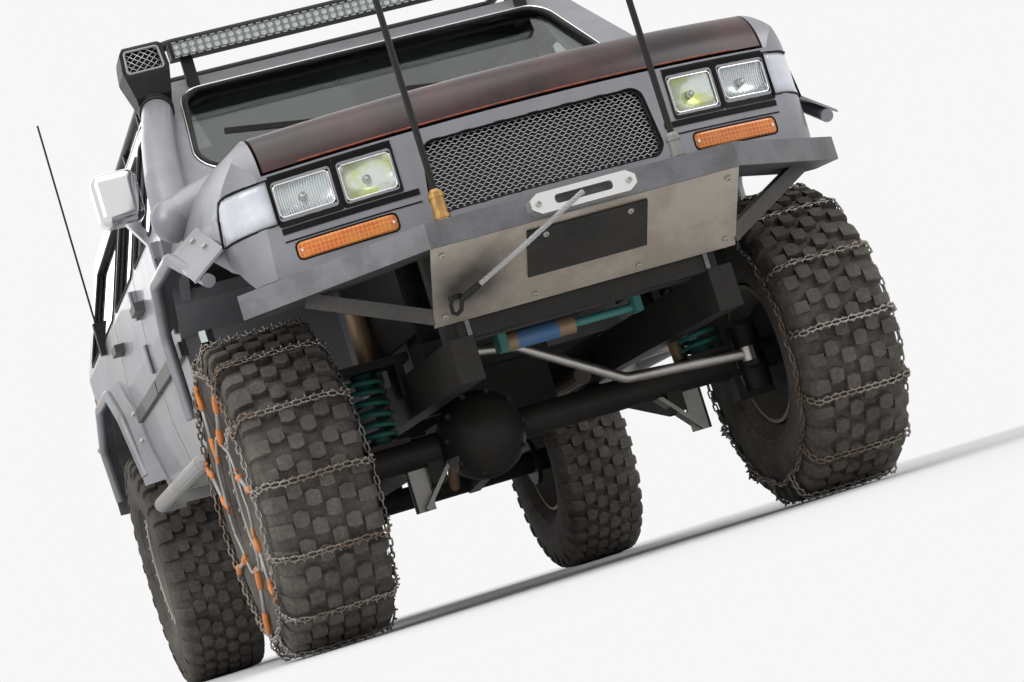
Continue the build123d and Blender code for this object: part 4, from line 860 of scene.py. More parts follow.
hand_over(mesh, "grille_mesh", instead=True)
hole = rounded([(-344, 1026), (-318, 1226), (318, 1226), (344, 1026)], 40, 8)
points, faces = [], []
pipe_mesh(points, faces, [nose(x, z, 5) for x, z in finer(hole, 6)], 0.0055, 8, closed=True)
black_rubber = finish("black_rubber", (0.008, 0.008, 0.008), 0.62, 0.0, 0.10, shine=0.2)
# Near-black for the lamp frames and seals, and painted shade on the gap bars along the nose.
black_and_gap_shade = finish("black_and_gap_shade", (0.004, 0.004, 0.004), 0.55, 0.0, 0.03, shine=0.12)
# Bars along the nose under and over the lamps: painted shade in the gaps between the lamp frames and the nose
# panel.
for z, height, near in ((1101, 17, 358), (1073, 4, 358), (1252, 8, 396)):
    for side in (-1, 1):
        for step in range(12):
            first = near + (728 - near) * step / 12
            last = near + (728 - near) * (step + 1) / 12
            bar(points, faces, nose(side * first, z, -0.5), nose(side * last, z, -0.5), height / 1000, 0.003)
nose_strips = shape("nose_strips", points, faces, black_and_gap_shade, smooth=False)
hand_over(nose_strips, "nose_panel")

# Lamps: two deep rectangular lamps a side in one black frame, their bowls mirrored and the
# inner pair yellowish, with moulded glass over them, and a clear white lamp round the corner.


def lens(name, colour, rough, clear):
    """Clear moulded plastic or glass: mostly see-through, with a sheen."""
    made, tree, sheen, output = new_material(name, Base_Color=colour + (1,), Roughness=rough)
    through = tree.nodes.new("ShaderNodeBsdfTransparent")
    through.inputs[0].default_value = colour + (1,)
    edge = tree.nodes.new("ShaderNodeLayerWeight")
    edge.inputs[0].default_value = 0.22
    share = math_node(tree, "ADD", math_node(tree, "MULTIPLY", edge.outputs["Fresnel"], 0.7), 1 - clear,
                      clamp=True)
    both = tree.nodes.new("ShaderNodeMixShader")
    wired(tree, (share, both.inputs[0]), (through.outputs[0], both.inputs[1]),
          (sheen.outputs[0], both.inputs[2]), (both.outputs[0], output.inputs[0]))
    return made


clear_lens = lens("clear_lens", (0.93, 0.95, 0.95), 0.06, 0.84)
bowl_chrome = finish("bowl_chrome", (0.86, 0.88, 0.88), 0.16, 1.0, 0.04)
bowl_yellow = finish("bowl_yellow", (0.74, 0.80, 0.16), 0.18, 1.0, 0.04, vary=(0.86, 0.88, 0.84),
                     vary_scale=13.0, vary_low=0.42, vary_high=0.56)
# The outer bowls' darker stripes are painted shade standing in for the lens's flutes; their rougher chrome is
# real.
stripe_shaded_chrome = another(bowl_chrome, "ribbed_bowl")
tree = stripe_shaded_chrome.node_tree
painted_stripe_wave = tree.nodes.new("ShaderNodeTexWave")
painted_stripe_wave.inputs["Scale"].default_value = 48.0
tree.links.new(tree.nodes.new("ShaderNodeTexCoord").outputs["Object"], painted_stripe_wave.inputs["Vector"])
lay_over(tree, spread(tree, painted_stripe_wave.outputs["Fac"], 0.35, 0.95), (0.40, 0.42, 0.43), 0.35, 1.0)
bulb_dark = finish("bulb_dark", (0.62, 0.62, 0.58), 0.2, 0.95, 0.05)
milky = finish("milky_lens", (0.66, 0.68, 0.74), 0.16, 0.0, 0.10, coat=0.6, vary=(0.80, 0.82, 0.86),
               vary_scale=9.0)
# x of the lamp's ends, its bottom and top, x of its frame's ends, the slot of its bowl's finish
# and how many flutes it has: the inner lamp, then the outer one
lamps = ((405, 545, 1128, 1229, 396, 558, 0, 0), (571, 722, 1137, 1230, 558, 731, 1, 22))
frame_low, frame_high = 1112, 1250
frame_points, frame_faces = [], []
bezel_points, bezel_faces = [], []
lens_points, lens_faces = [], []
bowl_points, bowl_faces, bowl_slots = [], [], []
for side in (-1, 1):
    for near, wide, low, high, edge_in, edge_out, bowl, flutes in lamps:
        inner = finer(oblong(near + 2, low + 2, wide - 2, high - 2, 12), 4)
        outer = finer(oblong(edge_in, frame_low, edge_out, frame_high, 8), 4)
        ring_out = [nose(side * x, z, -0.6) for x, z in outer]
        ring_in = [nose(side * x, z, 4) for x, z in inner]
        frame_ring(frame_points, frame_faces, ring_out, ring_in, (0, -0.002, 0))
        bead = [nose(side * x, z, 2.5) for x, z in inner]
        pipe_mesh(bezel_points, bezel_faces, bead, 0.0028, 6, closed=True)
        middle_x, middle_z = (near + wide) / 2, (low + high) / 2
        half_x, half_z = (wide - near) / 2 - 2, (high - low) / 2 - 2
        columns, rows = max(18, 2 * flutes), 12
        start = len(bowl_points)
        for row in range(rows + 1):
            for column in range(columns + 1):
                u, v = 2 * column / columns - 1, 2 * row / rows - 1
                deep = 9 + 26 * max(0, 1 - 0.62 * u * u - 0.62 * v * v)
                deep += (0.9 if column % 2 else -0.9) if flutes else 0
                bowl_points.append(nose(side * (middle_x + u * half_x), middle_z + v * half_z, deep))
        sheet(bowl_faces, start, rows, columns)
        bowl_slots += [bowl] * (rows * columns)
        start = len(bowl_faces)
        pipe_mesh(bowl_points, bowl_faces, [nose(side * middle_x, middle_z, 34),
                                            nose(side * middle_x, middle_z, 16)], [0.012, 0.008], 10)
        bowl_slots += [2] * (len(bowl_faces) - start)
        start = len(lens_points)
        count = 6 * max(flutes, 8)
        for step in range(count + 1):
            u = 2 * step / count - 1
            wave = 0.9 * math.cos(math.pi * step / 3) if flutes else 0
            clipped = half_z - (11 - math.sqrt(max(0, 121 - max(0, abs(u) * half_x - half_x + 11) ** 2)))
            for v in (-1, 1):
                lens_points.append(nose(side * (middle_x + u * half_x), middle_z + v * clipped,
                                        6 + wave - (1 - u * u) * 3))
        sheet(lens_faces, start, count, 1)
hand_over(shape("lamp_bowls", bowl_points, bowl_faces, bowl_yellow, stripe_shaded_chrome, bulb_dark, smooth=True,
                slots=bowl_slots), "headlamps")
hand_over(shape("lamp_frames", frame_points, frame_faces, black_and_gap_shade), "nose_panel")
hand_over(shape("lamp_bezels", bezel_points, bezel_faces, chrome, smooth=True), "headlamps")
hand_over(shape("lamp_glasses", lens_points, lens_faces, clear_lens, smooth=True), "headlamps", instead=True)
# the corner lamp follows the wing in plan: x and y of its path, then the most x at each height
corner_path = ((731, -624), (760, -608), (790, -587), (815, -562), (834, -535), (847, -508), (856, -480),
               (858, -471))
corner_levels = ((1124, 868), (1160, 864), (1201, 859), (1228, 851), (1249, 842))
points, faces = [], []
for side in (-1, 1):
    start = len(points)
    for z, limit in corner_levels:
        for x, y in corner_path:
            points.append(car(side * min(x, limit), y, z))
    sheet(faces, start, len(corner_levels) - 1, len(corner_path) - 1)
corner_lamps = shape("corner_lamps", points, faces, milky, smooth=True)
thicken = corner_lamps.modifiers.new("wall", "SOLIDIFY")
thicken.thickness = 0.006
hand_over(corner_lamps, "headlamps")
points, faces = [], []
for side in (-1, 1):
    low_edge = [car(side * min(x, 868), y - 2, 1124) for x, y in corner_path]
    high_edge = [car(side * min(x, 842), y - 2, 1249) for x, y in corner_path]
    far_edge = [car(side * limit, -474, z) for z, limit in corner_levels]
    pipe_mesh(points, faces, low_edge + far_edge + high_edge[::-1], 0.0036, 6, closed=True)
hand_over(shape("corner_lamp_seals", points, faces, black_and_gap_shade, smooth=True), "headlamps")
# amber indicators with rounded ends: a moulded grid on the lens, a dark edge and two screws
points, faces = [], []
seal_points, seal_faces = [], []
for side in (-1, 1):
    start = len(points)
    wide, tall = 60, 12
    for column in range(wide + 1):
        u = 2 * column / wide - 1
        shut = 15 - math.sqrt(max(0, 225 - max(0, abs(u) * 135.5 - 120.5) ** 2))
        for row in range(tall + 1):
            v = 2 * row / tall - 1
            pillow = 0.8 * abs(math.sin(math.pi * column / 3)) * abs(math.sin(math.pi * row / 4))
            edge = 4.0 * (1 - min(1, 6 * (1 - max(abs(u), abs(v)))))
            points.append(nose(side * (569.5 + u * 135.5), 1040.5 + v * (24 - shut), -3.0 - pillow + edge))
    sheet(faces, start, wide, tall)
    rim = finer(oblong(433, 1016, 706, 1065, 15, 6), 4)
    pipe_mesh(seal_points, seal_faces, [nose(side * x, z, 0) for x, z in rim], 0.0026, 6, closed=True)
hand_over(shape("indicator_lenses", points, faces, amber, smooth=True), "indicators", instead=True)
hand_over(shape("indicator_seals", seal_points, seal_faces, black_and_gap_shade, smooth=True), "nose_panel")
points, faces = [], []
for side in (-1, 1):
    for x in (446, 693):
        pipe_mesh(points, faces, [nose(side * x, 1040.5, 4), nose(side * x, 1040.5, -4.5)],
                  [0.0050, 0.0040], 10)
hand_over(shape("lamp_screws", points, faces, chrome), "indicators")

# Bonnet edge: a chipped line of old orange-red paint along the lid's front lip.


def skin(node, origin, direction):
    """Where a line from an origin meets a CAD node, and which way that face looks."""
    hit, where, normal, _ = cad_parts[node].ray_cast(Vector(origin), Vector(direction))
    return (where, normal) if hit else None


edge_line = []
for number in range(49):
    x = -640 + 1280 * number / 48
    for z in range(1180, 1340, 2):
        found = skin("bonnet", car(x, -1300, z), (0, 1, 0))
        if found:
            edge_line.append(tuple(found[0] + Vector((0, -0.0004, 0.0028))))
            break
old_orange = finish("old_orange", (0.42, 0.070, 0.020), 0.5, 0.0, 0.12, vary=(0.10, 0.030, 0.020),
                    vary_scale=40.0)
points, faces = [], []
pipe_mesh(points, faces, edge_line, 0.0021, 6)
hand_over(shape("bonnet_edge", points, faces, old_orange, smooth=True), "bonnet", "bonnet")

# Windows: black rubber round each pane, with a bright bead round the windscreen, two wipers,
# and a mirror behind the screen.


screen_foot, screen_run, screen_rise = (400, 1478), 560, 454
belt_half, belt_height, side_run, side_rise = 900, 1385, 156, 471


def screen_place(x, z, out=0.0):
    """A place on the sloping windscreen, x and z in millimetres."""
    run = (z - screen_foot[1]) * screen_run / screen_rise
    return car(x, screen_foot[0] + run - 0.63 * out, z + 0.777 * out)


def side_place(side, y, z, out=0.0):
    """A place on the cabin's side, which leans in above the belt."""
    lean = (z - belt_height) * side_run / side_rise
    return car(side * (belt_half - lean + 0.949 * out), y, z + 0.314 * out)


screen_line = finer(rounded([(-716, 1518), (716, 1518), (628, 1872), (-628, 1872)], 80, 8))
points, faces = [], []
pipe_mesh(points, faces, [screen_place(x, z, 0) for x, z in screen_line], 0.009, 8, closed=True)
hand_over(shape("screen_seal", points, faces, black_rubber, smooth=True), "body_shell")
grown_line = [(x * 1.016, 1695 + (z - 1695) * 1.05) for x, z in screen_line]
points, faces = [], []
pipe_mesh(points, faces, [screen_place(x, z, 2) for x, z in grown_line], 0.0042, 6, closed=True)
hand_over(shape("screen_bead", points, faces, chrome, smooth=True), "body_shell")
# window, its corners in the side view, the body that holds it
side_windows = (
    ("front", ((610, 1412), (610, 1496), (930, 1786), (1296, 1812), (1296, 1412)), "door_front_{}"),
    ("rear", ((1414, 1412), (1414, 1812), (2120, 1812), (2190, 1412)), "door_rear_{}"),
    ("quarter", ((2330, 1412), (2290, 1800), (3460, 1776), (3620, 1412)), "body"),
)
for side_name, side in both_ways:
    for window, corners, holder in side_windows:
        points, faces = [], []
        line = finer(rounded(corners, 36, 6))
        pipe_mesh(points, faces, [side_place(side, y, z, -1) for y, z in line], 0.008, 6, closed=True)
        node = "body_shell" if holder == "body" else f"door_{window}_{side_name}"
        hand_over(shape(f"{window}_seal_{side_name}", points, faces, black_rubber, smooth=True), node,
                  holder.format(side_name))
points, faces = [], []
for x, (x_end, z_end) in ((530, (120, 1572)), (-50, (-460, 1582))):
    foot, tip = screen_place(x, 1508, 22), screen_place(x_end, z_end, 16)
    bar(points, faces, foot, tip, 0.012, 0.010)
    middle = Vector(foot).lerp(Vector(tip), 0.9)
    reach = Vector(tip) - Vector(foot)
    bar(points, faces, tuple(middle - reach * 0.42 + Vector((0, 0, 0.020))),
        tuple(middle + reach * 0.42 + Vector((0, 0, 0.030))), 0.018, 0.014)
hand_over(shape("wipers", points, faces, black_rubber), "body_shell")
points, faces = [], []
back_glass = oblong(-110, 1760, 110, 1818, 20)
plate(points, faces, [car(x, 900, z) for x, z in back_glass], (0, 0.018, 0))
pipe_mesh(points, faces, [car(0, 910, 1815), car(0, 905, 1868)], 0.006, 6)
hand_over(shape("inside_mirror", points, faces, black_plastic), "body_shell")


# Lamp bar: a black extrusion over the windscreen with two rows of mirrored cups, each with a
# small diode, under a clear cover, and a row of short pale fins above and below it.
place_many, entry, leave = node_tree("pieces_on_places", ("Element", "Object"), ("Finish", "Material"))
element = place_many.nodes.new("GeometryNodeObjectInfo")
way_out = place_many.nodes.new("GeometryNodeInputNamedAttribute")
way_out.data_type = "FLOAT_VECTOR"
way_out.inputs["Name"].default_value = "way_out"
turn_out = place_many.nodes.new("FunctionNodeAlignRotationToVector")
turn_out.axis = "Z"
spread_out = place_many.nodes.new("GeometryNodeInstanceOnPoints")
solid = place_many.nodes.new("GeometryNodeRealizeInstances")
coat = place_many.nodes.new("GeometryNodeSetMaterial")
wired(
    place_many, (entry.outputs["Element"], element.inputs["Object"]),
    (way_out.outputs[0], turn_out.inputs["Vector"]),
    (entry.outputs["Geometry"], spread_out.inputs["Points"]),
    (element.outputs["Geometry"], spread_out.inputs["Instance"]),
    (turn_out.outputs[0], spread_out.inputs["Rotation"]), (spread_out.outputs[0], solid.inputs[0]),
    (solid.outputs[0], coat.inputs["Geometry"]), (entry.outputs["Finish"], coat.inputs["Material"]),
    (coat.outputs[0], leave.inputs[0]))


def on_places(name, element_object, spots, look):
    """Copies of an element at (place, way out), made by the geometry tree."""
    mesh = bpy.data.meshes.new("spots")
    mesh.from_pydata([tuple(spot) for spot, _ in spots], [], [])
    ways = mesh.attributes.new("way_out", "FLOAT_VECTOR", "POINT")
    for item, (_, way) in zip(ways.data, spots):
        item.vector = tuple(way)
    return grown(placed("spots", mesh), place_many, name, Element=element_object, Finish=look)


def turned_up(name, profile, sides):
    """An element turned about Z from (radius, z) stations."""
    points, faces = [], []
    for radius, z in profile:
        for corner in range(sides):
            angle = math.tau * (corner + 0.5) / sides
            points.append((radius * math.cos(angle), radius * math.sin(angle), z))
    weave(faces, 0, len(profile), sides, False)
    faces.append(tuple(range(sides))[::-1])
    faces.append(tuple(range((len(profile) - 1) * sides, len(profile) * sides)))
    return shape(name, points, faces)


cup = turned_up("cup", [(0.0092, -0.0045), (0.0092, 0.0), (0.0086, 0.0), (0.0045, -0.0032),
                        (0.0022, -0.0036)], 12)
diode = turned_up("diode", [(0.0024, -0.0036), (0.0022, -0.0022), (0.0010, -0.0016)], 6)
rows = [(car(-607 + 1214 * n / 45, 881.2, z), (0, -1, 0)) for z in (2005.4, 2025.6) for n in range(46)]
diode_yellow = finish("diode_yellow", (0.85, 0.70, 0.22), 0.3, 0.0, 0.0)
for name, thing, look in (("lamp_bar_cups", cup, bowl_chrome), ("lamp_bar_diodes", diode, diode_yellow)):
    hand_over(on_places(name, thing, rows, look), "light_bar")
points, faces = [], []
plate(points, faces, [car(x, 880.6, z) for x,
                      z in ((-619, 1993), (619, 1993), (619, 2038), (-619, 2038))], (0, -0.0008, 0))
hand_over(shape("lamp_bar_cover", points, faces, clear_lens), "light_bar")
points, faces = [], []
for n in range(47):
    for z in (1990.4, 2040.6):
        x = -612 + 1224 * n / 46
        bar(points, faces, car(x - 8, 879.6, z), car(x + 8, 879.6, z), 0.0026, 0.0016)
fin_grey = finish("fin_grey", (0.50, 0.50, 0.50), 0.5, 0.2, 0.1)
hand_over(shape("lamp_bar_fins", points, faces, fin_grey), "light_bar")

# Snorkel head: black moulding with its lip painted light grey as a highlight, and woven wire
# across its mouth, clamped to the neck of the tube with a rubber sleeve.
points, faces = [], []
for slant in (-1, 1):
    for number in range(12):
        start_x = -910 + number * 25
        inside = []
        for step in range(61):
            z = 1934 + 72 * step / 60
            x = start_x + (z - 1934) * 1.3 if slant > 0 else start_x + 94 - (z - 1934) * 1.3
            if -808 + (z - 1934) * 5 / 72 < x < -687 - (z - 1934) * 6 / 72:
                inside.append((x, z))
        if len(inside) > 2:
            (x, z), (x_end, z_end) = inside[0], inside[-1]
            deep = 721.5 + slant * 0.8
            pipe_mesh(points, faces, [car(x, deep, z), car(x_end, deep, z_end)], 0.0015, 5)
hand_over(shape("head_mesh", points, faces, mesh_steel, smooth=True), "snorkel_head")
mouth = finer(rounded([(-808, 1934), (-803, 2006), (-693, 2006), (-687, 1934)], 9, 4), 3)
points, faces = [], []
pipe_mesh(points, faces, [car(x, 718.5, z) for x, z in mouth], 0.0042, 6, closed=True)
# The lip's light grey is a painted highlight on the black moulding.
lip_highlight_grey = finish("lip_highlight_grey", (0.30, 0.30, 0.31), 0.35, 0.3, 0.12)
hand_over(shape("head_lip", points, faces, lip_highlight_grey, smooth=True), "snorkel_head")
along_neck = (Vector(car(-744, 760, 1814)) - Vector(car(-800, 550, 1655))).normalized()
across = along_neck.cross(Vector((0, 0, 1))).normalized()
over_neck = along_neck.cross(across)
points, faces = [], []
for back, wire in ((0.004, 0.0052), (0.018, 0.0040), (0.030, 0.0052)):
    middle = Vector(car(-744, 760, 1814)) - along_neck * back
    size = 0.0505 + back * 0.03
    ring = [tuple(middle + across * size * math.cos(a / 36 * math.tau) + over_neck * size
                  * math.sin(a / 36 * math.tau))
            for a in range(36)]
    pipe_mesh(points, faces, ring, wire, 6, closed=True, frame_up=tuple(along_neck))
hand_over(shape("neck_sleeve", points, faces, black_rubber, smooth=True), "snorkel_head")

# Front bumper's fittings: brass and steel sleeves at the foot of the two marker poles, socket
# bolts, a braided rope from the fairlead to a shackle at the plate's corner, and rope on the drum.
brass = finish("brass", (0.50, 0.30, 0.09), 0.30, 0.9, 0.16, vary=(0.34, 0.19, 0.07), vary_scale=30.0)
points, faces, sleeve_slots = [], [], []
for x, top, size, rings, slot_number in ((-369, 1056, 19.6, (990, 1046), 0),
                                         (298, 1041, 17.6, (988, 1032), 1)):
    start = len(faces)
    pipe_mesh(points, faces, [car(x, -912, 977), car(x, -912, top), car(x, -912, top + 8)],
              [size / 1000, size / 1000, 0.012], 20)
    for z in rings:
        pipe_mesh(points, faces, [car(x, -912, z - 5), car(x, -912, z + 5)], (size + 3) / 1000, 20)
    sleeve_slots += [slot_number] * (len(faces) - start)
hand_over(shape("pole_sleeves", points, faces, brass, rim_steel, slots=sleeve_slots), "aerials")
socket_bolt = turned_up("socket_bolt", [(0.0085, -0.004), (0.0085, 0.0045), (0.0075, 0.0055),
                                        (0.0045, 0.0055), (0.0042, 0.0025)], 14)
hexagon = turned_up("hexagon_bolt", [(0.0125, -0.003), (0.0125, 0.0012), (0.0088, 0.0012),
                                     (0.0088, 0.0068), (0.0074, 0.0078)], 6)
fall = math.atan2(955 - 750, 909 - 732)


def on_plate(x, down, out=0.0):
    """A place on the sloping plate under the beam, so far down it from its top edge."""
    along = (math.sin(fall), math.cos(fall))
    return car(x, -955 + down * along[0] - out * along[1], 909 - down * along[1] - out * along[0])


plate_out = Vector((0, -math.cos(fall), -math.sin(fall)))
zinc = finish("zinc", (0.45, 0.44, 0.41), 0.4, 0.85, 0.2)
spots = [(car(x, -1020, 941.5), (0, -1, 0)) for x in (-143, 110)]
spots += [(on_plate(x, down, 0.5), plate_out) for x,
          down in ((-405, 30), (405, 30), (-405, 240), (405, 240), (150, 248), (-150, 248))]
spots += [(on_plate(x, 44, 6.5), plate_out) for x in (-120, 120)]
hand_over(on_places("bumper_bolts", socket_bolt, spots, zinc), "bumper_plate")
rope_line = [car(*p) for p in ((-16, -1000, 942), (-24, -1026, 941), (-90, -1024, 908),
                               (-190, -966, 858), (-290, -902, 812), (-366, -852, 776))]
fine_line = []
for first, last in zip(rope_line, rope_line[1:]):
    fine_line += [Vector(first).lerp(Vector(last), share / 14) for share in range(14)]
fine_line.append(Vector(rope_line[-1]))
points, faces = [], []
for strand in range(4):
    run = []
    for number, spot_on in enumerate(fine_line):
        ahead_of = fine_line[min(number + 1, len(fine_line) - 1)] - fine_line[max(number - 1, 0)]
        first = ahead_of.normalized().cross(Vector((0, 0, 1))).normalized()
        second = ahead_of.normalized().cross(first)
        angle = number * 0.75 + strand * math.pi / 2
        run.append(tuple(spot_on + (first * math.cos(angle) + second * math.sin(angle)) * 0.0038))
    pipe_mesh(points, faces, run, 0.0036, 6)
hand_over(shape("winch_rope_braid", points, faces, rope_grey, smooth=True), "winch_rope", instead=True)
points, faces = [], []
tip, far = Vector(car(-366, -852, 776)), Vector(car(-290, -902, 812))
pipe_mesh(points, faces, [tuple(tip.lerp(far, share)) for share in (0.0, 0.1, 0.55, 0.65)],
          [0.0075, 0.0092, 0.0088, 0.0070], 10)
shackle = [car(*p) for p in ((-370, -842, 790), (-388, -846, 788), (-398, -838, 770), (-396, -828, 750),
                             (-384, -824, 744), (-372, -828, 752), (-366, -838, 772))]
pipe_mesh(points, faces, shackle, 0.0060, 8, closed=True)
pipe_mesh(points, faces, [car(-400, -842, 786), car(-362, -842, 786)], 0.0070, 8)
hand_over(shape("rope_shackle", points, faces, black_paint, smooth=True), "winch_rope")
points, faces = [], []
for number in range(36):
    x = -194 + 368 * number / 35
    ring = [car(x + 2.5 * math.sin(a / 20 * math.tau), -760 + 39 * math.cos(a / 20 * math.tau),
                850 + 39 * math.sin(a / 20 * math.tau))
            for a in range(20)]
    pipe_mesh(points, faces, ring, 0.0056, 5, closed=True)
hand_over(shape("rope_on_drum", points, faces, rope_grey, smooth=True), "winch")

# Springs and axle casing: wound coils in teal paint on seats in the same paint, and bolts round
# the differential's cover.
points, faces = [], []
for side in (-1, 1):
    for x, y, low, high, turns, size in ((510, 0, 520, 735, 6.5, 52), (500, 2850, 520, 675, 5.0, 50)):
        steps = int(turns * 22)
        run = []
        for step in range(steps + 1):
            share = step / steps
            rise = low + 8 + (high - low - 16) * (share - 0.02 * math.sin(math.tau * share))
            angle = math.tau * turns * share
            run.append(car(side * (x + size * math.cos(angle)), y + size * math.sin(angle), rise))
        pipe_mesh(points, faces, run, 0.0080, 8)
        pipe_mesh(points, faces, [car(side * x, y, low + 2), car(side * x, y, low + 46)], [0.034, 0.020], 12)
        pipe_mesh(points, faces, [car(side * x, y, high - 60), car(side * x, y, high - 2)],
                  [0.022, 0.036], 12)
hand_over(shape("wound_springs", points, faces, spring_teal, smooth=True), "coil_springs", instead=True)
spots = []
for number in range(10):
    angle = math.tau * number / 10
    spots.append((car(-225 + 118 * math.cos(angle), -92, 473 + 118 * math.sin(angle)), (0, -1, 0)))
hand_over(on_places("casing_bolts", socket_bolt, spots, black_paint), "front_axle")

# Wheels: a bolted clamping ring round each rim's lip and six nuts on the hub.
ring_bolt = turned_up("ring_bolt", [(0.0072, -0.002), (0.0072, 0.0045), (0.0058, 0.0058)], 6)
nut = turned_up("wheel_nut", [(0.0135, -0.003), (0.0125, 0.004), (0.0100, 0.004), (0.0100, 0.018),
                              (0.0080, 0.023)], 6)
ring_grey = finish("ring_grey", (0.52, 0.52, 0.51), 0.42, 0.5, 0.30)
for axle, side_name, side, centre in wheels:
    outside = (side, 0, 0)
    points, faces = [], []
    turned(points, faces, [(0.1245, 0.2080), (0.1285, 0.2095), (0.1285, 0.2275), (0.1250, 0.2300)],
           centre, 72, side)
    ring = shape(f"clamp_ring_{axle}_{side_name}", points, faces, ring_grey)
    spots = [(round_axle(centre, side * 0.1283, 0.2185, math.tau * n / 24), outside) for n in range(24)]
    bolts = on_places(f"ring_bolts_{axle}_{side_name}", ring_bolt, spots, zinc)
    spots = [(round_axle(centre, side * 0.0765, 0.0585, math.tau * n / 6), outside) for n in range(6)]
    nuts = on_places(f"wheel_nuts_{axle}_{side_name}", nut, spots, zinc)
    for piece in (ring, bolts, nuts):
        outward(piece)
        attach(piece, f"wheel_{axle}_{side_name}")

# Arch flares: hexagon bolts through the flares, found on their own face.
spots = []
for side in (-1, 1):
    for y, z in ((-330, 1165), (-200, 1208), (-60, 1232), (110, 1236), (260, 1238), (390, 1190), (445, 1110),
                 (2240, 930), (2300, 1040), (2420, 1125), (2560, 1198), (2760, 1204), (2960, 1204),
                 (3120, 1198), (3260, 1130), (3370, 1040), (3430, 930)):
        found = skin("arch_flares", car(side * 1200, y, z), (-side, 0, 0))
        if found and found[0].x * side > 0.86:
            spots.append(found)
hand_over(on_places("flare_bolts", hexagon, spots, zinc), "arch_flares")
for spare in (cup, diode, socket_bolt, hexagon, ring_bolt, nut):
    bpy.data.objects.remove(spare)

# Seats: two front seats and a rear bench in grey cloth over foam, each pad swollen by a cloth
# run, with sewn channels, and headrests on steel stalks.


def pad_body(name, low, high, middle, lean, pivot):
    """A rounded block between two corners, leaning back about a line across the car."""
    work = bmesh.new()
    bmesh.ops.create_cube(work, size=1.0)
    for vertex in work.verts:
        vertex.co = Vector([m + c * (b - a) for m, c, a, b in zip(middle, vertex.co, low, high)])
    bmesh.ops.bevel(work, geom=list(work.edges), offset=0.032, segments=4, affect="EDGES", profile=0.6)
    for vertex in work.verts:
        vertex.co.y += (vertex.co.z - pivot) * lean
    mesh = bpy.data.meshes.new(name)
    work.to_mesh(mesh)
    work.free()
    mesh.materials.append(cloth)
    return placed(name, mesh)


def swollen(pad, voxel, reach):
    """Remeshes a pad, blows it up as cloth with a cap on each point's way, and smooths it."""
    remesh = pad.modifiers.new("remesh", "REMESH")
    remesh.mode = "VOXEL"
    remesh.voxel_size = voxel
    bpy.context.view_layer.update()
    view = bpy.context.evaluated_depsgraph_get()
    start_mesh = bpy.data.meshes.new_from_object(pad.evaluated_get(view), depsgraph=view)
    pad.modifiers.remove(remesh)
    pad.data = start_mesh
    resting = [vertex.co.copy() for vertex in start_mesh.vertices]
    blown = pad.modifiers.new("cloth", "CLOTH")
    blown.settings.quality = 4
    blown.settings.use_pressure = True
    blown.settings.uniform_pressure_force = 4.0
    blown.settings.effector_weights.gravity = 0.0
    blown.settings.tension_stiffness = 12.0
    blown.collision_settings.use_collision = False
    for number in range(1, 21):
        bpy.context.scene.frame_set(number)
    view = bpy.context.evaluated_depsgraph_get()
    blown_mesh = bpy.data.meshes.new_from_object(pad.evaluated_get(view), depsgraph=view)
    pad.modifiers.remove(blown)
    bpy.context.scene.frame_set(1)
    pad.data = blown_mesh
    for vertex, before in zip(pad.data.vertices, resting):
        step = vertex.co - before
        if step.length > reach:
            vertex.co = before + step.normalized() * reach
    pad.data.shade_smooth()


def channelled(pad, middle, lines, depth, half):
    """Presses sewn channels into a pad at given places across the car."""
    for vertex in pad.data.vertices:
        for line in lines:
            off = abs(vertex.co.x - line)
            if off < half:
                share = 1 - off / half
                toward = Vector(middle) - vertex.co
                toward.x = 0
                vertex.co += toward.normalized() * depth * share * share


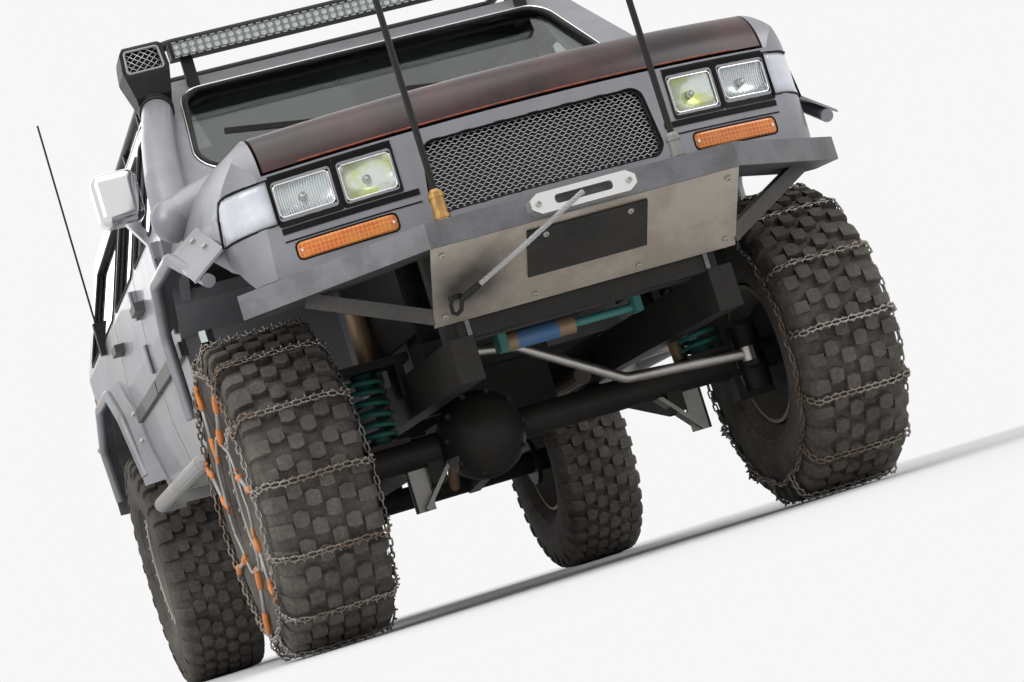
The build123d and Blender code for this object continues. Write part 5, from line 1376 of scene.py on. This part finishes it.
# pad, its lower and upper corner, how it leans, fill, where its channels lie
single, double = (0.290, 0.415, 0.540), (-0.18, 0.18)
pads = (
    ("cushion", (0.195, -0.455, 0.925), (0.635, -0.015, 1.015), 0.0, 0.8, single),
    ("back", (0.200, -0.010, 1.03), (0.630, 0.058, 1.552), 0.22, 0.8, single),
    ("headrest", (0.322, 0.106, 1.578), (0.508, 0.154, 1.722), 0.0, 0.9, ()),
    ("bench_cushion", (-0.545, 0.625, 0.925), (0.545, 1.015, 1.015), 0.0, 0.8, double),
    ("bench_back", (-0.548, 1.010, 1.03), (0.548, 1.068, 1.535), 0.16, 0.8, double),
)
for name, low, high, lean, fill, lines in pads:
    middle = [(a + b) / 2 for a, b in zip(low, high)]
    pad = pad_body(name, low, high, middle, lean, low[2])
    wide = "bench" in name
    swollen(pad, 0.010 if wide else 0.007, 0.012)
    channelled(pad, middle, lines, 0.007, 0.012)
    copies = [(pad, name if wide else f"{name}_left")]
    if not wide:
        twin = pad.copy()
        twin.data = pad.data.copy()
        bpy.context.collection.objects.link(twin)
        for vertex in twin.data.vertices:
            vertex.co.x = -vertex.co.x
        twin.data.flip_normals()
        copies.append((twin, f"{name}_right"))
    for made, label in copies:
        made.name = f"seat_{label}"
        if name == "cushion" and made is pad:
            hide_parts("seats")
        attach(made, "body")
points, faces = [], []
for side in (-1, 1):
    for x in (385, 445):
        pipe_mesh(points, faces, [car(side * x, 1602, 1520), car(side * x, 1610, 1600)], 0.006, 8)
hand_over(shape("headrest_stalks", points, faces, chrome, smooth=True), "seats")

# Cabin: a thick black rim on the steering wheel.
wheel_middle = Vector(car(-415, 940, 1276))
wheel_axis = Vector((0, 0.86, 0.5)).normalized()
wheel_up = wheel_axis.cross(Vector((1, 0, 0))).normalized()
points, faces = [], []
ring = []
for n in range(48):
    angle = math.tau * n / 48
    ring.append(tuple(wheel_middle + Vector((1, 0, 0)) * 0.182 * math.cos(angle) + wheel_up * 0.182
                      * math.sin(angle)))
pipe_mesh(points, faces, ring, 0.0155, 10, closed=True, frame_up=tuple(wheel_axis))
hand_over(shape("steering_wheel_rim", points, faces, black_plastic, smooth=True), "cabin_fittings")

# Tail: a blank number plate on the tailgate under a black grip.
points, faces = [], []
grip_points, grip_faces = [], []
found = skin("tailgate", car(0, 4400, 1000), (0, -1, 0))
if found:
    back = found[0].y * 1000 + axle_to_middle
    plate_line = oblong(-165, 905, 165, 1070, 10)
    plate(points, faces, [car(x, back + 0.5, z) for x, z in plate_line], (0, 0.003, 0))
    grip_line = oblong(-150, 1100, 150, 1128, 8)
    plate(grip_points, grip_faces, [car(x, back + 0.5, z) for x, z in grip_line], (0, 0.012, 0))
    blank_white = finish("blank_white", (0.55, 0.55, 0.53), 0.5, 0.0, 0.25)
    for made in (shape("rear_plate", points, faces, blank_white),
                 shape("tailgate_grip", grip_points, grip_faces, black_plastic)):
        hand_over(made, "tailgate", "tailgate")
